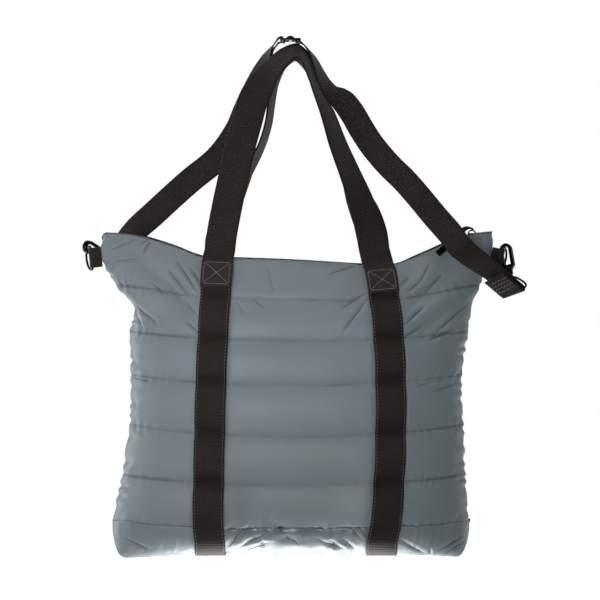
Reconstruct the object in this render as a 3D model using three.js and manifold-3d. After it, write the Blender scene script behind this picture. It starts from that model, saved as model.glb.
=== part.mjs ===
// Quilted tote bag with webbing handles and a clip-on shoulder strap, shown hanging.
// Millimetres, +Z up, the front faces -Y. The origin is the seat of the hook that the handles hang on.
import * as THREE from "three";
import { mergeVertices } from "three/addons/utils/BufferGeometryUtils.js";
import Module from "manifold-3d";

const wasm = await Module();
wasm.setup();

// Driving dimensions
const CLEARANCE = 0.35; // between pieces that touch
const SEAM_GAP = 0.5; // between the front and the back
const BASE_SEAM_GAP = 1.4; // between them and the base
const SEAM_HALF = 0.9; // half the width of the groove along the side seam
const WALL_AT_STITCH = 3; // padded wall where it is stitched through
const LOFT = 6; // how much thicker the wall is in the middle of a channel
const PUFF = 5; // how far a channel stands out of the stitched form
const BASE_Z = -614; // underside of the base, in the middle
const CORNER_DROOP = 10; // how far the base corners hang below that
const BASE_ROUND = 32; // radius of the base's rolled edge, front and back
const SIDE_ROUND = 18; // the same at the sides

const HANDLE_WIDTH = 38;
const HANDLE_THICK = 2.2;
const STRAP_WIDTH = 32;
const STRAP_THICK = 1.6;
const PATCH_WIDTH = 39;
const PATCH_THICK = 1.4;
const TAB_WIDTH = 25;
const TAB_THICK = 1.3;
const TAB_REACH = 12.5; // from the side seam to the ring's bar
const RING_WIRE = 1.6; // radius
const ZIP_TAPE_WIDTH = 16;
const ZIP_TAPE_THICK = 1;
const ZIP_STANDS_UP = 3; // how far the tape shows above the rim

// Panel mesh
const COLUMNS = 22;
const ROWS_PER_CHANNEL = 4;
const BASE_ROWS = 8;

// A table is a list of rows with named columns.
const table = (columns, rows) =>
  rows.map((row) => Object.fromEntries(columns.map((name, i) => [name, row[i]])));

// Cross-sections of the body, from the rim to the base seam. left and right are half widths, depth is the
// half depth, square is the section's squareness, rim is how much of the rim's own curve is left at this
// level, and rise lifts the sides.
const SECTIONS = table(
  ["level", "left", "right", "depth", "square", "rim", "rise"],
  [
    [-250, 244, 247, 24, 1.7, 1.0, 0],
    [-275, 242, 243, 38, 1.8, 0.65, 3],
    [-299, 225, 230, 50, 2.0, 0.36, 5],
    [-322, 203, 220, 56, 2.2, 0.18, 7],
    [-351, 207, 215, 62, 2.4, 0.06, 10],
    [-406, 206, 207, 68, 2.6, 0, 13],
    [-469, 208, 209, 71, 2.8, 0, 14],
    [-529, 217, 211, 73, 3.0, 0, 12],
    [-582, 229, 216, 73, 3.2, 0, 8],
  ],
);

// The rim between the wings, which the strap pulls up at both ends.
const RIM = table(
  ["x", "z"],
  [
    [-244, -215],
    [-195, -220],
    [-145, -235],
    [-116, -246],
    [-79, -247],
    [0, -250],
    [86, -255],
    [124, -255],
    [155, -243],
    [215, -218],
    [247, -214],
  ],
);

// Levels of the stitch lines across the channels, the rim and the base seam included.
const STITCH_LEVELS = [-250, -299, -351, -406, -469, -529, -582];

// Tension folds of the front and back: a line between two points, its width, and how deep it sinks.
const FOLDS = table(
  ["x0", "z0", "x1", "z1", "width", "depth"],
  [
    [-205, -245, -125, -300, 26, 3.5],
    [-160, -265, -112, -345, 22, 3],
    [205, -262, 130, -318, 26, 3.5],
    [200, -300, 138, -352, 24, 3],
    [92, -280, 40, -318, 20, 2],
  ],
);

// Where each handle lies on the front and back, on the right and on the left.
const HANDLE_LINES = {
  right: table(
    ["z", "x"],
    [
      [-240, 100],
      [-275, 106],
      [-335, 113],
      [-400, 116],
      [-470, 116],
      [-530, 114],
      [-582, 110],
      [-614, 106],
    ],
  ),
  left: table(
    ["z", "x"],
    [
      [-240, -96],
      [-288, -99],
      [-395, -104],
      [-514, -107],
      [-582, -108],
      [-614, -106],
    ],
  ),
};
// Upper and lower ends of the stitched patches.
const PATCH_SPAN = { right: [-261, -292], left: [-258, -289] };

// Free loops of the handles and the strap, from the viewer's right to the left. turn is the twist of the
// webbing: at 0 it faces the front, at 90 degrees its width runs from front to back.
const LOOP_COLUMNS = ["x", "y", "z", "turn"];
const FRONT_LOOP = table(LOOP_COLUMNS, [
  [98, -24, -240, 2],
  [93, -24, -217, 12],
  [82, -24, -180, 33],
  [67, -24, -142, 46],
  [52, -23.5, -105, 54],
  [39, -23, -67, 62],
  [31, -22.5, -50, 70],
  [22, -21.5, -30, 78],
  [16, -20, -10, 72],
  [9, -18.5, 4, 72],
  [0, -17.7, 10.5, 58],
  [-12, -18, 5.5, 56],
  [-25, -19, -7, 50],
  [-37, -20, -22, 38],
  [-47, -21, -38, 16],
  [-54, -21.5, -53, 4],
  [-60, -22.5, -75, 0],
  [-70, -24, -112, 0],
  [-80, -24, -157, 0],
  [-85, -24, -180, 0],
  [-92, -24, -217, 0],
  [-95, -24, -240, 0],
]);
const BACK_LOOP = table(LOOP_COLUMNS, [
  [99, 24, -240, 0],
  [96, 24, -218, 0],
  [88, 23.5, -194, -12],
  [76, 23, -166, -40],
  [66, 23, -135, -62],
  [57, 22.5, -99, -82],
  [46, 22.5, -72, -84],
  [38, 22, -54, -84],
  [29, 21.5, -36, -80],
  [20, 20, -14, -74],
  [10, 18.5, 3, -64],
  [0, 17.7, 10.5, -58],
  [-10, 18, 6, -62],
  [-20, 19, -8, -72],
  [-27, 20, -30, -78],
  [-31, 21, -54, -78],
  [-35, 22, -80, -78],
  [-44, 22.5, -108, -78],
  [-61, 23, -140, -72],
  [-79, 23.5, -175, -50],
  [-90, 24, -205, -22],
  [-95, 24, -225, -6],
  [-96, 24, -240, 0],
]);
const STRAP_RIGHT = table(LOOP_COLUMNS, [
  [206, -56, -237, -16],
  [190, -53, -217, -6],
  [171, -47, -195, 0],
  [154, -42, -174, 0],
  [134, -37, -151, 0],
  [115, -31, -132, 0],
  [95, -26, -108, 0],
  [82, -22, -88, 0],
  [70, -17, -67, 4],
  [59, -13, -52, 16],
  [50, -10, -44, 36],
  [41, -7, -36, 55],
  [34, -3, -24, 64],
  [28, 1, -10, 72],
  [22, 5, 4, 80],
  [14, 7, 15, 86],
]);
const STRAP_LEFT = table(LOOP_COLUMNS, [
  [-27, 10.5, 15, 86],
  [-35, 15.5, 2, 68],
  [-43, 15.5, -14, 54],
  [-52, 14, -34, 45],
  [-63, 13, -60, 36],
  [-74, 13, -88, 24],
  [-97, 13, -121, 8],
  [-132, 15, -150, 0],
  [-157, 19, -172, 0],
  [-181, 25, -194, 6],
  [-200, 33, -211, 18],
  [-216, 40, -230, 32],
]);
const STRAP_PLY_GAP = 3.2; // between the middles of the two plies on the left
const STRAP_SEWN_BACK = 36; // length of the strap's end sewn back on itself
const TURN_STEPS = 4; // facets of the strap where it turns round a bar
const TURN_STRAIGHT = 5; // straight length on each side of such a turn

// Strap adjuster: a flat frame with a middle bar, on top of the crown
const ADJUSTER = { x: -7, y: 9, z: 25.6, width: 42, bar: 4, slot: 7, thick: 2.6, inner: 34 };

// Snap hook, along its own axis: u from the swivel to the nose, v across, w through its thickness
const HOOK = {
  thick: 5.4,
  barrelRadius: 4.2,
  barrelLength: 9,
  half: 8, // outer half width
  eye: 4, // inner half width
  noseCentre: 33,
  lugTop: 17.5,
  mouthFloor: 12.5,
  tip: 29, // lower end of the nose
  pivot: { u: 15.5, v: -5.8 },
  gateThick: 3,
  pinRadius: 0.8,
  postRadius: 2,
  boreRadius: 2.35,
  boreDepth: 6,
  ringHeight: 33, // where the ring's wire sits in the eye
};
// Loop under the hook that holds the strap
const LOOP = { wire: 1.7, half: 20, drop: 23, collar: 3.6 };

// Hardware at each end of the rim. out is the way the ring's bow points, grip the place on the bow where
// the hook holds it, nose the way the hook points, bar the way the strap's bar runs.
const ENDS = {
  right: {
    seam: new THREE.Vector3(243.6, 0, -246),
    tilt: 12,
    out: new THREE.Vector3(0.4, 0.92, 0),
    grip: { out: 12, up: 12.6 },
    nose: new THREE.Vector3(-0.14, 0.33, 0.93),
    bar: new THREE.Vector3(0.81, -0.5, 0.3),
  },
  left: {
    seam: new THREE.Vector3(-243, 0, -246),
    tilt: -6,
    out: new THREE.Vector3(-0.4, 0.92, 0),
    grip: { out: 8, up: 14.2 },
    nose: new THREE.Vector3(-0.55, -0.75, 0.36),
    bar: new THREE.Vector3(-0.41, 0.62, 0.67),
  },
};
const RING = { bar: 13, bow: 18.5 };

// Finishes
const finish = (color, roughness, metalness = 0) =>
  new THREE.MeshStandardMaterial({ color, roughness, metalness });
const SHELL_CLOTH = finish(0x737b80, 0.62);
const WEBBING = finish(0x2b2624, 0.85);
const PATCH_LEATHER = finish(0x3a3230, 0.6);
const ZIP_CLOTH = finish(0x24262a, 0.85);
const BLACK_METAL = finish(0x17171a, 0.35, 0.8);

const Y_AXIS = new THREE.Vector3(0, 1, 0);
const Z_AXIS = new THREE.Vector3(0, 0, 1);
const vec = (x, y, z) => new THREE.Vector3(x, y, z);
const clamp = THREE.MathUtils.clamp;
const radians = THREE.MathUtils.degToRad;

const bag = new THREE.Group();

function addPiece(name, geometry, material, parent = bag) {
  const mesh = new THREE.Mesh(geometry, material);
  mesh.name = name;
  parent.add(mesh);
}

// A smooth curve through one column of a table, whose key column runs up or down.
function curveThrough(rows, key, column) {
  const sign = Math.sign(rows.at(-1)[key] - rows[0][key]);
  const keys = rows.map((row) => row[key] * sign);
  const values = rows.map((row) => row[column]);
  const slope = (i) => {
    const a = Math.max(i - 1, 0);
    const b = Math.min(i + 1, keys.length - 1);
    return (values[b] - values[a]) / (keys[b] - keys[a]);
  };
  return (at) => {
    const k = clamp(at * sign, keys[0], keys.at(-1));
    const i = clamp(keys.findIndex((key) => key > k) - 1, 0, keys.length - 2);
    const j = k >= keys.at(-1) ? keys.length - 2 : i;
    const span = keys[j + 1] - keys[j];
    const t = (k - keys[j]) / span;
    const h = t * t * (3 - 2 * t);
    const bend = t * (1 - t) * span;
    return values[j] + (values[j + 1] - values[j]) * h + bend * ((1 - t) * slope(j) - t * slope(j + 1));
  };
}

// A closed solid from points and triangles, with its faces turned outwards.
function closedSolid(points, triangles) {
  let volume = 0;
  for (const [a, b, c] of triangles) {
    volume += points[a].dot(points[b].clone().cross(points[c]));
  }
  const index = triangles.flatMap(([a, b, c]) => (volume < 0 ? [a, c, b] : [a, b, c]));
  return new THREE.BufferGeometry().setFromPoints(points).setIndex(index);
}

// A slab between two grids of points of the same size.
function slab(outer, inner) {
  const rows = outer.length;
  const columns = outer[0].length;
  const half = rows * columns;
  const at = (side, r, c) => side * half + r * columns + c;
  const triangles = [];
  const quad = (a, b, c, d) => triangles.push([a, b, c], [a, c, d]);
  for (let r = 0; r < rows - 1; r++) {
    for (let c = 0; c < columns - 1; c++) {
      quad(at(0, r, c), at(0, r, c + 1), at(0, r + 1, c + 1), at(0, r + 1, c));
      quad(at(1, r, c), at(1, r + 1, c), at(1, r + 1, c + 1), at(1, r, c + 1));
    }
  }
  for (let c = 0; c < columns - 1; c++) {
    quad(at(0, 0, c), at(1, 0, c), at(1, 0, c + 1), at(0, 0, c + 1));
    quad(at(0, rows - 1, c), at(0, rows - 1, c + 1), at(1, rows - 1, c + 1), at(1, rows - 1, c));
  }
  const end = columns - 1;
  for (let r = 0; r < rows - 1; r++) {
    quad(at(0, r, 0), at(0, r + 1, 0), at(1, r + 1, 0), at(1, r, 0));
    quad(at(0, r, end), at(1, r, end), at(1, r + 1, end), at(0, r + 1, end));
  }
  return closedSolid([...outer.flat(), ...inner.flat()], triangles);
}

// A flat strip of webbing through rows that hold a point and the direction of the width.
// Both faces are split along the same diagonal, and a row marked as returning takes the other one,
// so that two plies of a twisted strip are split alike and stay apart.
function ribbon(rows, width, thick) {
  const points = [];
  const triangles = [];
  rows.forEach((row, i) => {
    const before = rows[Math.max(i - 1, 0)].at;
    const after = rows[Math.min(i + 1, rows.length - 1)].at;
    const along = after.clone().sub(before).normalize();
    const across = row.across.clone().addScaledVector(along, -row.across.dot(along)).normalize();
    const normal = along.clone().cross(across);
    for (const [a, n] of [[1, 1], [-1, 1], [-1, -1], [1, -1]]) {
      points.push(
        row.at.clone().addScaledVector(across, (a * width) / 2).addScaledVector(normal, (n * thick) / 2),
      );
    }
  });
  const last = (rows.length - 1) * 4;
  for (let start = 0; start < last; start += 4) {
    const returning = Boolean(rows[start / 4].returning);
    for (let k = 0; k < 4; k++) {
      const [a, b] = [start + k, start + ((k + 1) % 4)];
      const front = k < 2;
      if (front === returning) {
        triangles.push([a, b, a + 4], [b, b + 4, a + 4]);
      } else {
        triangles.push([a, b, b + 4], [a, b + 4, a + 4]);
      }
    }
  }
  triangles.push([0, 2, 1], [0, 3, 2], [last, last + 1, last + 2], [last, last + 2, last + 3]);
  return closedSolid(points, triangles);
}

// Rows of a ribbon from a table of points and turns.
function loopRows(loop) {
  return loop.map((row, i) => {
    const before = loop[Math.max(i - 1, 0)];
    const after = loop[Math.min(i + 1, loop.length - 1)];
    const outward = vec(after.z - before.z, 0, before.x - after.x).normalize();
    const turn = radians(row.turn);
    const across = outward.multiplyScalar(Math.cos(turn)).addScaledVector(Y_AXIS, Math.sin(turn));
    return { at: vec(row.x, row.y, row.z), across };
  });
}

// Joining and cutting
function toSolid(geometry) {
  const bare = geometry.clone();
  bare.deleteAttribute("normal");
  bare.deleteAttribute("uv");
  const merged = mergeVertices(bare, 1e-4);
  return new wasm.Manifold(
    new wasm.Mesh({
      numProp: 3,
      vertProperties: merged.attributes.position.array,
      triVerts: new Uint32Array(merged.index.array),
    }),
  );
}

function toGeometry(solid) {
  const mesh = solid.getMesh();
  return new THREE.BufferGeometry()
    .setAttribute("position", new THREE.BufferAttribute(mesh.vertProperties, 3))
    .setIndex(new THREE.BufferAttribute(mesh.triVerts, 1));
}

// A round bar of a given radius between two heights on the u axis, which is local Z.
const roundBar = (radius, low, high, sides) =>
  new THREE.CylinderGeometry(radius, radius, high - low, sides)
    .rotateX(Math.PI / 2)
    .translate(0, 0, (low + high) / 2);

const closedWire = (points, radius, steps, sides) =>
  new THREE.TubeGeometry(new THREE.CatmullRomCurve3(points, true), steps, radius, sides, true);

// Body surface
const column = Object.fromEntries(
  ["left", "right", "depth", "square", "rim", "rise"].map((name) => [
    name,
    curveThrough(SECTIONS, "level", name),
  ]),
);
const rimLine = curveThrough(RIM, "x", "z");
const RIM_LEVEL = STITCH_LEVELS[0];
const SEAM_LEVEL = STITCH_LEVELS.at(-1);

// 0 on a stitch line and 1 in the middle of a channel.
function channel(level) {
  const i = STITCH_LEVELS.findIndex((stitch) => stitch <= level);
  if (i < 1) return 0;
  const share = (STITCH_LEVELS[i - 1] - level) / (STITCH_LEVELS[i - 1] - STITCH_LEVELS[i]);
  return Math.sin(Math.PI * share) ** 0.75;
}

function foldDepth(x, z) {
  let depth = 0;
  for (const fold of FOLDS) {
    const length = Math.hypot(fold.x1 - fold.x0, fold.z1 - fold.z0);
    const ux = (fold.x1 - fold.x0) / length;
    const uz = (fold.z1 - fold.z0) / length;
    const along = (x - fold.x0) * ux + (z - fold.z0) * uz;
    const aside = (x - fold.x0) * uz - (z - fold.z0) * ux;
    const share = clamp(along / length, 0, 1);
    depth += fold.depth * Math.sin(Math.PI * share) * Math.exp(-((aside / (fold.width / 2)) ** 2));
  }
  return depth;
}

const halfWidth = (x, level) => (x < 0 ? column.left(level) : column.right(level));

// Stitched form of the front (face -1) or the back (face 1), without its puff.
function form(x, level, face) {
  const share = Math.min(Math.abs(x) / halfWidth(x, level), 1);
  const square = column.square(level);
  const bulge = (1 - share ** square) ** (1 / square);
  const z = level + (rimLine(x) - RIM_LEVEL) * column.rim(level) + column.rise(level) * share ** 2;
  return vec(x, face * (SEAM_HALF + (column.depth(level) - SEAM_HALF) * bulge), z);
}

function formNormal(x, level, face) {
  const step = 1;
  const inside = halfWidth(x, level) - 2 * step;
  const middle = clamp(x, -inside, inside);
  const lower = clamp(level - step, SEAM_LEVEL, RIM_LEVEL);
  const upper = clamp(level + step, SEAM_LEVEL, RIM_LEVEL);
  const acrossX = form(middle + step, level, face).sub(form(middle - step, level, face));
  const upZ = form(middle, upper, face).sub(form(middle, lower, face));
  const normal = acrossX.cross(upZ).normalize();
  return normal.multiplyScalar(Math.sign(normal.y * face) || 1);
}

// Outer and inner side of the padded wall. The two walls lie flat on each other in the wings.
function wall(x, level, face) {
  const stitched = form(x, level, face);
  const normal = formNormal(x, level, face);
  const fromSeam = 1 - Math.min(Math.abs(x) / halfWidth(x, level), 1) ** 6;
  const loft = channel(level) * fromSeam;
  const sunk = foldDepth(stitched.x, stitched.z) * fromSeam;
  const outer = stitched.addScaledVector(normal, PUFF * loft - sunk);
  const inner = outer.clone().addScaledVector(normal, -WALL_AT_STITCH - LOFT * loft);
  inner.y = face * Math.max(inner.y * face, SEAM_GAP / 2);
  return { outer, inner, normal };
}

const LEVELS = STITCH_LEVELS.slice(1).flatMap((stitch, i) =>
  Array.from({ length: ROWS_PER_CHANNEL }, (_, k) =>
    THREE.MathUtils.lerp(STITCH_LEVELS[i], stitch, k / ROWS_PER_CHANNEL),
  ),
);
LEVELS.push(SEAM_LEVEL);

// Places of the columns, closer together towards the side seams.
function columnPlaces(level) {
  return Array.from({ length: COLUMNS + 1 }, (_, k) => {
    const angle = radians(-90 + (180 * k) / COLUMNS);
    const share = Math.abs(Math.sin(angle)) ** (2 / column.square(level));
    return angle < 0 ? -share * column.left(level) : share * column.right(level);
  });
}

function addPanel(name, face) {
  const outer = [];
  const inner = [];
  for (const level of LEVELS) {
    const walls = columnPlaces(level).map((x) => wall(x, level, face));
    outer.push(walls.map((side) => side.outer));
    inner.push(walls.map((side) => side.inner));
  }
  addPiece(name, slab(outer, inner), SHELL_CLOTH);
}

// Rows of the base, closer together towards its rolled edges.
const BASE_DEPTHS = Array.from({ length: BASE_ROWS + 1 }, (_, r) =>
  Math.sin(radians(-90 + (180 * r) / BASE_ROWS)),
);

// Underside of the base at x. depth runs from -1 at the front seam to 1 at the back seam.
function basePoint(x, depth) {
  const edge = form(x, SEAM_LEVEL, -1);
  const reach = -edge.y;
  const toSide = (halfWidth(x, SEAM_LEVEL) - Math.abs(x)) / SIDE_ROUND;
  const toEdge = (reach * (1 - Math.abs(depth))) / BASE_ROUND;
  const near = Math.min(toSide, toEdge, 1);
  const rolled = Math.sqrt(1 - (1 - near) ** 2);
  const bottom = BASE_Z - CORNER_DROOP * (Math.abs(x) / column.left(SEAM_LEVEL)) ** 4;
  const start = edge.z - BASE_SEAM_GAP;
  return vec(x, reach * depth, start + (bottom - start) * rolled);
}

function addBase() {
  const outer = [];
  const inner = [];
  for (const depth of BASE_DEPTHS) {
    const row = columnPlaces(SEAM_LEVEL).map((x) => basePoint(x, depth));
    outer.push(row);
    inner.push(
      row.map((point) => {
        const inset = vec(point.x * 0.985, point.y * 0.955, point.z);
        const top = form(point.x, SEAM_LEVEL, -1).z - BASE_SEAM_GAP;
        inset.z = Math.min(point.z + WALL_AT_STITCH, top);
        return inset;
      }),
    );
  }
  addPiece("base_panel", slab(outer, inner), SHELL_CLOTH);
}

// Handles: one length of webbing each, from under the base up the panel, over the crown and down again.
const handleLine = Object.fromEntries(
  Object.entries(HANDLE_LINES).map(([side, rows]) => [side, curveThrough(rows, "z", "x")]),
);
const outwardOf = (side) => vec(side === "right" ? 1 : -1, 0, 0);
const HANDLE_SEAT = 2 * CLEARANCE + HANDLE_THICK / 2;
const RIM_EASE = 1.5;

// The panel's outer side at x as it is meshed, straight between two columns.
function panelSide(x, level, face) {
  const places = columnPlaces(level);
  const i = clamp(places.findIndex((place) => place > x), 1, COLUMNS);
  const share = (x - places[i - 1]) / (places[i] - places[i - 1]);
  return wall(places[i - 1], level, face).outer.lerp(wall(places[i], level, face).outer, share);
}

// A row of sewn webbing laid on a surface at x, lifted until it clears the surface over its whole width.
function seated(surface, facing, x, side, lift) {
  const edges = [-0.5, -0.25, 0, 0.25, 0.5].map((share) => surface(x + share * HANDLE_WIDTH));
  const across = edges[4].clone().sub(edges[0]).normalize();
  const normal = facing.clone().addScaledVector(across, -facing.dot(across)).normalize();
  const middle = edges[0].clone().add(edges[4]).multiplyScalar(0.5);
  const swell = Math.max(...edges.map((edge) => edge.sub(middle).dot(normal)));
  const at = middle.addScaledVector(normal, lift + swell);
  return { at, across: across.multiplyScalar(outwardOf(side).x) };
}

// On the panel the webbing eases off a little towards the rim, where it leaves the cloth.
function onPanel(side, level, face, lift) {
  const x = handleLine[side](level);
  const ease = RIM_EASE * THREE.MathUtils.smoothstep(level, STITCH_LEVELS[1], RIM_LEVEL);
  return seated((at) => panelSide(at, level, face), formNormal(x, level, face), x, side, lift + ease);
}

function underBase(side, face) {
  const x = handleLine[side](BASE_Z);
  return BASE_DEPTHS.filter((share) => share >= 0 && share < 1).map((share) => {
    const depth = Math.max(share, 0.01);
    const along = basePoint(x, face * depth).sub(basePoint(x, face * (depth - 0.01)));
    const down = along.cross(vec(face, 0, 0)).normalize();
    return seated((at) => basePoint(at, face * depth), down, x, side, HANDLE_SEAT);
  });
}

function addHandle(name, face, loop) {
  const sewn = (side) => [
    ...underBase(side, face),
    ...[...LEVELS].reverse().map((level) => onPanel(side, level, face, HANDLE_SEAT)),
  ];
  const rows = [...sewn("right"), ...loopRows(loop), ...sewn("left").reverse()];
  addPiece(name, ribbon(rows, HANDLE_WIDTH, HANDLE_THICK), WEBBING);
}

function addPatch(name, side, face) {
  const [top, bottom] = PATCH_SPAN[side];
  const lift = HANDLE_SEAT + (HANDLE_THICK + PATCH_THICK) / 2 + CLEARANCE;
  const steps = 4;
  const rows = Array.from({ length: steps + 1 }, (_, i) =>
    onPanel(side, THREE.MathUtils.lerp(top, bottom, i / steps), face, lift),
  );
  addPiece(name, ribbon(rows, PATCH_WIDTH, PATCH_THICK), PATCH_LEATHER);
}

// Zip: a tape inside each edge of the mouth, and the slider and puller at the right end.
const ZIP_END = 214;
const ZIP_STEPS = 10;
function addZipTape(name, face) {
  const rows = [];
  for (let i = -ZIP_STEPS; i <= ZIP_STEPS; i++) {
    const x = (ZIP_END * i) / ZIP_STEPS;
    const inner = wall(x, RIM_LEVEL, face).inner;
    const closing = THREE.MathUtils.smoothstep(Math.abs(x), ZIP_END * 0.86, ZIP_END);
    const open = Math.abs(inner.y) - CLEARANCE - ZIP_TAPE_THICK / 2;
    const y = face * THREE.MathUtils.lerp(open, 1.6 * ZIP_TAPE_THICK, closing);
    rows.push({ at: vec(x, y, inner.z + ZIP_STANDS_UP - ZIP_TAPE_WIDTH / 2), across: Z_AXIS });
  }
  addPiece(name, ribbon(rows, ZIP_TAPE_WIDTH, ZIP_TAPE_THICK), ZIP_CLOTH);
}

function addZipSlider() {
  const length = 11;
  const at = vec(ZIP_END + CLEARANCE + length / 2, 0, rimLine(ZIP_END) - 1);
  const body = toSolid(new THREE.BoxGeometry(length, 7, 6).translate(at.x, at.y, at.z));
  const arch = [[-4.5, 1.5], [-3.5, 5], [0, 6.4], [3.5, 5], [4.5, 1.5]];
  const bailPoints = arch.map(([along, up]) => vec(along, 0, up));
  const bail = new THREE.ExtrudeGeometry(new THREE.Shape().absarc(0, 0, 0.9, 0, Math.PI * 2), {
    steps: 10,
    curveSegments: 4,
    bevelEnabled: false,
    extrudePath: new THREE.CatmullRomCurve3(bailPoints.map((point) => point.add(at))),
  });
  addPiece("zip_slider", toGeometry(body.add(toSolid(bail))), BLACK_METAL);
}

function addZipPuller() {
  const route = table(LOOP_COLUMNS, [
    [219, -1.6, -210.8, 90],
    [214, -8, -209.6, 75],
    [208, -15, -213, 50],
    [199, -20, -222, 20],
    [188, -24, -232, 0],
    [176, -28, -243, 0],
  ]);
  addPiece("zip_puller", ribbon(loopRows(route), 8, 2.2), BLACK_METAL);
}

// Side tab, ring, snap hook and strap loop at one end of the rim
function tabShape() {
  const inner = RING_WIRE + CLEARANCE;
  const outer = inner + TAB_THICK;
  const shape = new THREE.Shape();
  shape.moveTo(0, -outer);
  shape.lineTo(TAB_REACH, -outer);
  shape.absarc(TAB_REACH, 0, outer, -Math.PI / 2, Math.PI / 2);
  shape.lineTo(0, outer);
  shape.lineTo(0, inner);
  shape.lineTo(TAB_REACH, inner);
  shape.absarc(TAB_REACH, 0, inner, Math.PI / 2, -Math.PI / 2, true);
  shape.lineTo(0, -inner);
  return shape;
}

function ringGeometry() {
  const { bar, bow } = RING;
  const upper = [[0, 9], [0, bar], [2, 14.3], [8, 14.2], [13, 12], [17, 7]];
  const lower = upper.map(([out, up]) => [out, -up]).reverse();
  const points = [[0, 0], ...upper, [bow, 0], ...lower].map(([out, up]) => vec(out, 0, up));
  return closedWire(points, RING_WIRE, 36, 8);
}

function hookOutline() {
  const { half, eye, noseCentre, lugTop, mouthFloor, tip, barrelLength, barrelRadius } = HOOK;
  const shape = new THREE.Shape();
  shape.moveTo(-barrelRadius + 0.4, barrelLength - 3);
  shape.lineTo(-half, barrelLength + 2);
  shape.lineTo(-half, lugTop);
  shape.lineTo(-eye, lugTop);
  shape.lineTo(-eye, mouthFloor);
  shape.lineTo(eye, mouthFloor);
  shape.lineTo(eye, noseCentre);
  shape.absarc(0, noseCentre, eye, 0, Math.PI);
  shape.lineTo(-eye, tip);
  shape.lineTo(-half, tip);
  shape.absarc(0, noseCentre, half, Math.PI, 0, true);
  shape.lineTo(half, barrelLength + 2);
  shape.lineTo(barrelRadius - 0.4, barrelLength - 3);
  return shape;
}

// An outline drawn across v and along u, made into a plate centred on w.
const plate = (shape, thick, segments) =>
  new THREE.ExtrudeGeometry(shape, { depth: thick, bevelEnabled: false, curveSegments: segments })
    .translate(0, 0, -thick / 2)
    .rotateX(Math.PI / 2);

const pinAt = (radius, length) =>
  new THREE.CylinderGeometry(radius, radius, length, 10).translate(HOOK.pivot.v, 0, HOOK.pivot.u);

function hookBodyGeometry() {
  const { thick, barrelRadius, barrelLength, half, eye, lugTop, mouthFloor, gateThick } = HOOK;
  const slotHeight = lugTop - mouthFloor + 2;
  const slot = new THREE.BoxGeometry(half - eye + 2, gateThick + 2 * CLEARANCE, slotHeight).translate(
    -(half + eye) / 2,
    0,
    mouthFloor + slotHeight / 2,
  );
  return toGeometry(
    toSolid(plate(hookOutline(), thick, 6))
      .add(toSolid(roundBar(barrelRadius, 0, barrelLength, 12)))
      .subtract(toSolid(slot))
      .subtract(toSolid(pinAt(HOOK.pinRadius + CLEARANCE, thick + 2)))
      .subtract(toSolid(roundBar(HOOK.boreRadius, -1, HOOK.boreDepth, 10))),
  );
}

// The sprung gate closes the mouth from inside the nose, and turns inwards on its pin.
function gateGeometry() {
  const { pivot, tip, half, eye, gateThick, thick } = HOOK;
  const shape = new THREE.Shape();
  shape.moveTo(-half + 0.5, pivot.u - 1.1);
  shape.lineTo(-eye - 0.5, pivot.u - 1.1);
  shape.lineTo(-eye - 0.3, tip - CLEARANCE);
  shape.lineTo(-half + 0.9, tip - CLEARANCE);
  shape.lineTo(-half + 0.6, pivot.u + 9);
  shape.lineTo(-half - 1.4, pivot.u + 7);
  shape.lineTo(-half - 1.2, pivot.u + 4);
  shape.lineTo(-half + 0.5, pivot.u + 2.6);
  return toGeometry(toSolid(plate(shape, gateThick, 2)).add(toSolid(pinAt(HOOK.pinRadius, thick))));
}

function strapLoopGeometry() {
  const { wire, half, drop, collar } = LOOP;
  const right = [[9, -drop], [half - 2, -drop], [half, -drop + 2.5], [half - 1, -drop + 5], [6, -5.5]];
  const left = right.map(([v, u]) => [-v, u]).reverse();
  const points = [[0, -drop], ...right, [0, -4.5], ...left].map(([v, u]) => vec(v, 0, u));
  return toGeometry(
    toSolid(closedWire(points, wire, 40, 6))
      .add(toSolid(roundBar(collar, -5.5, -CLEARANCE, 10)))
      .add(toSolid(roundBar(HOOK.postRadius, -3, HOOK.boreDepth - CLEARANCE, 10))),
  );
}

// A group whose local X, Y and Z lie along the given directions as nearly as they can, Z exactly.
function turnedGroup(at, zDirection, xDirection) {
  const z = zDirection.clone().normalize();
  const y = z.clone().cross(xDirection).normalize();
  const x = y.clone().cross(z);
  const group = new THREE.Group();
  group.position.copy(at);
  group.quaternion.setFromRotationMatrix(new THREE.Matrix4().makeBasis(x, y, z));
  bag.add(group);
  return group;
}

// Middle and direction of the bar that the strap turns round, filled in as the ends are made.
const strapBars = {};

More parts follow.
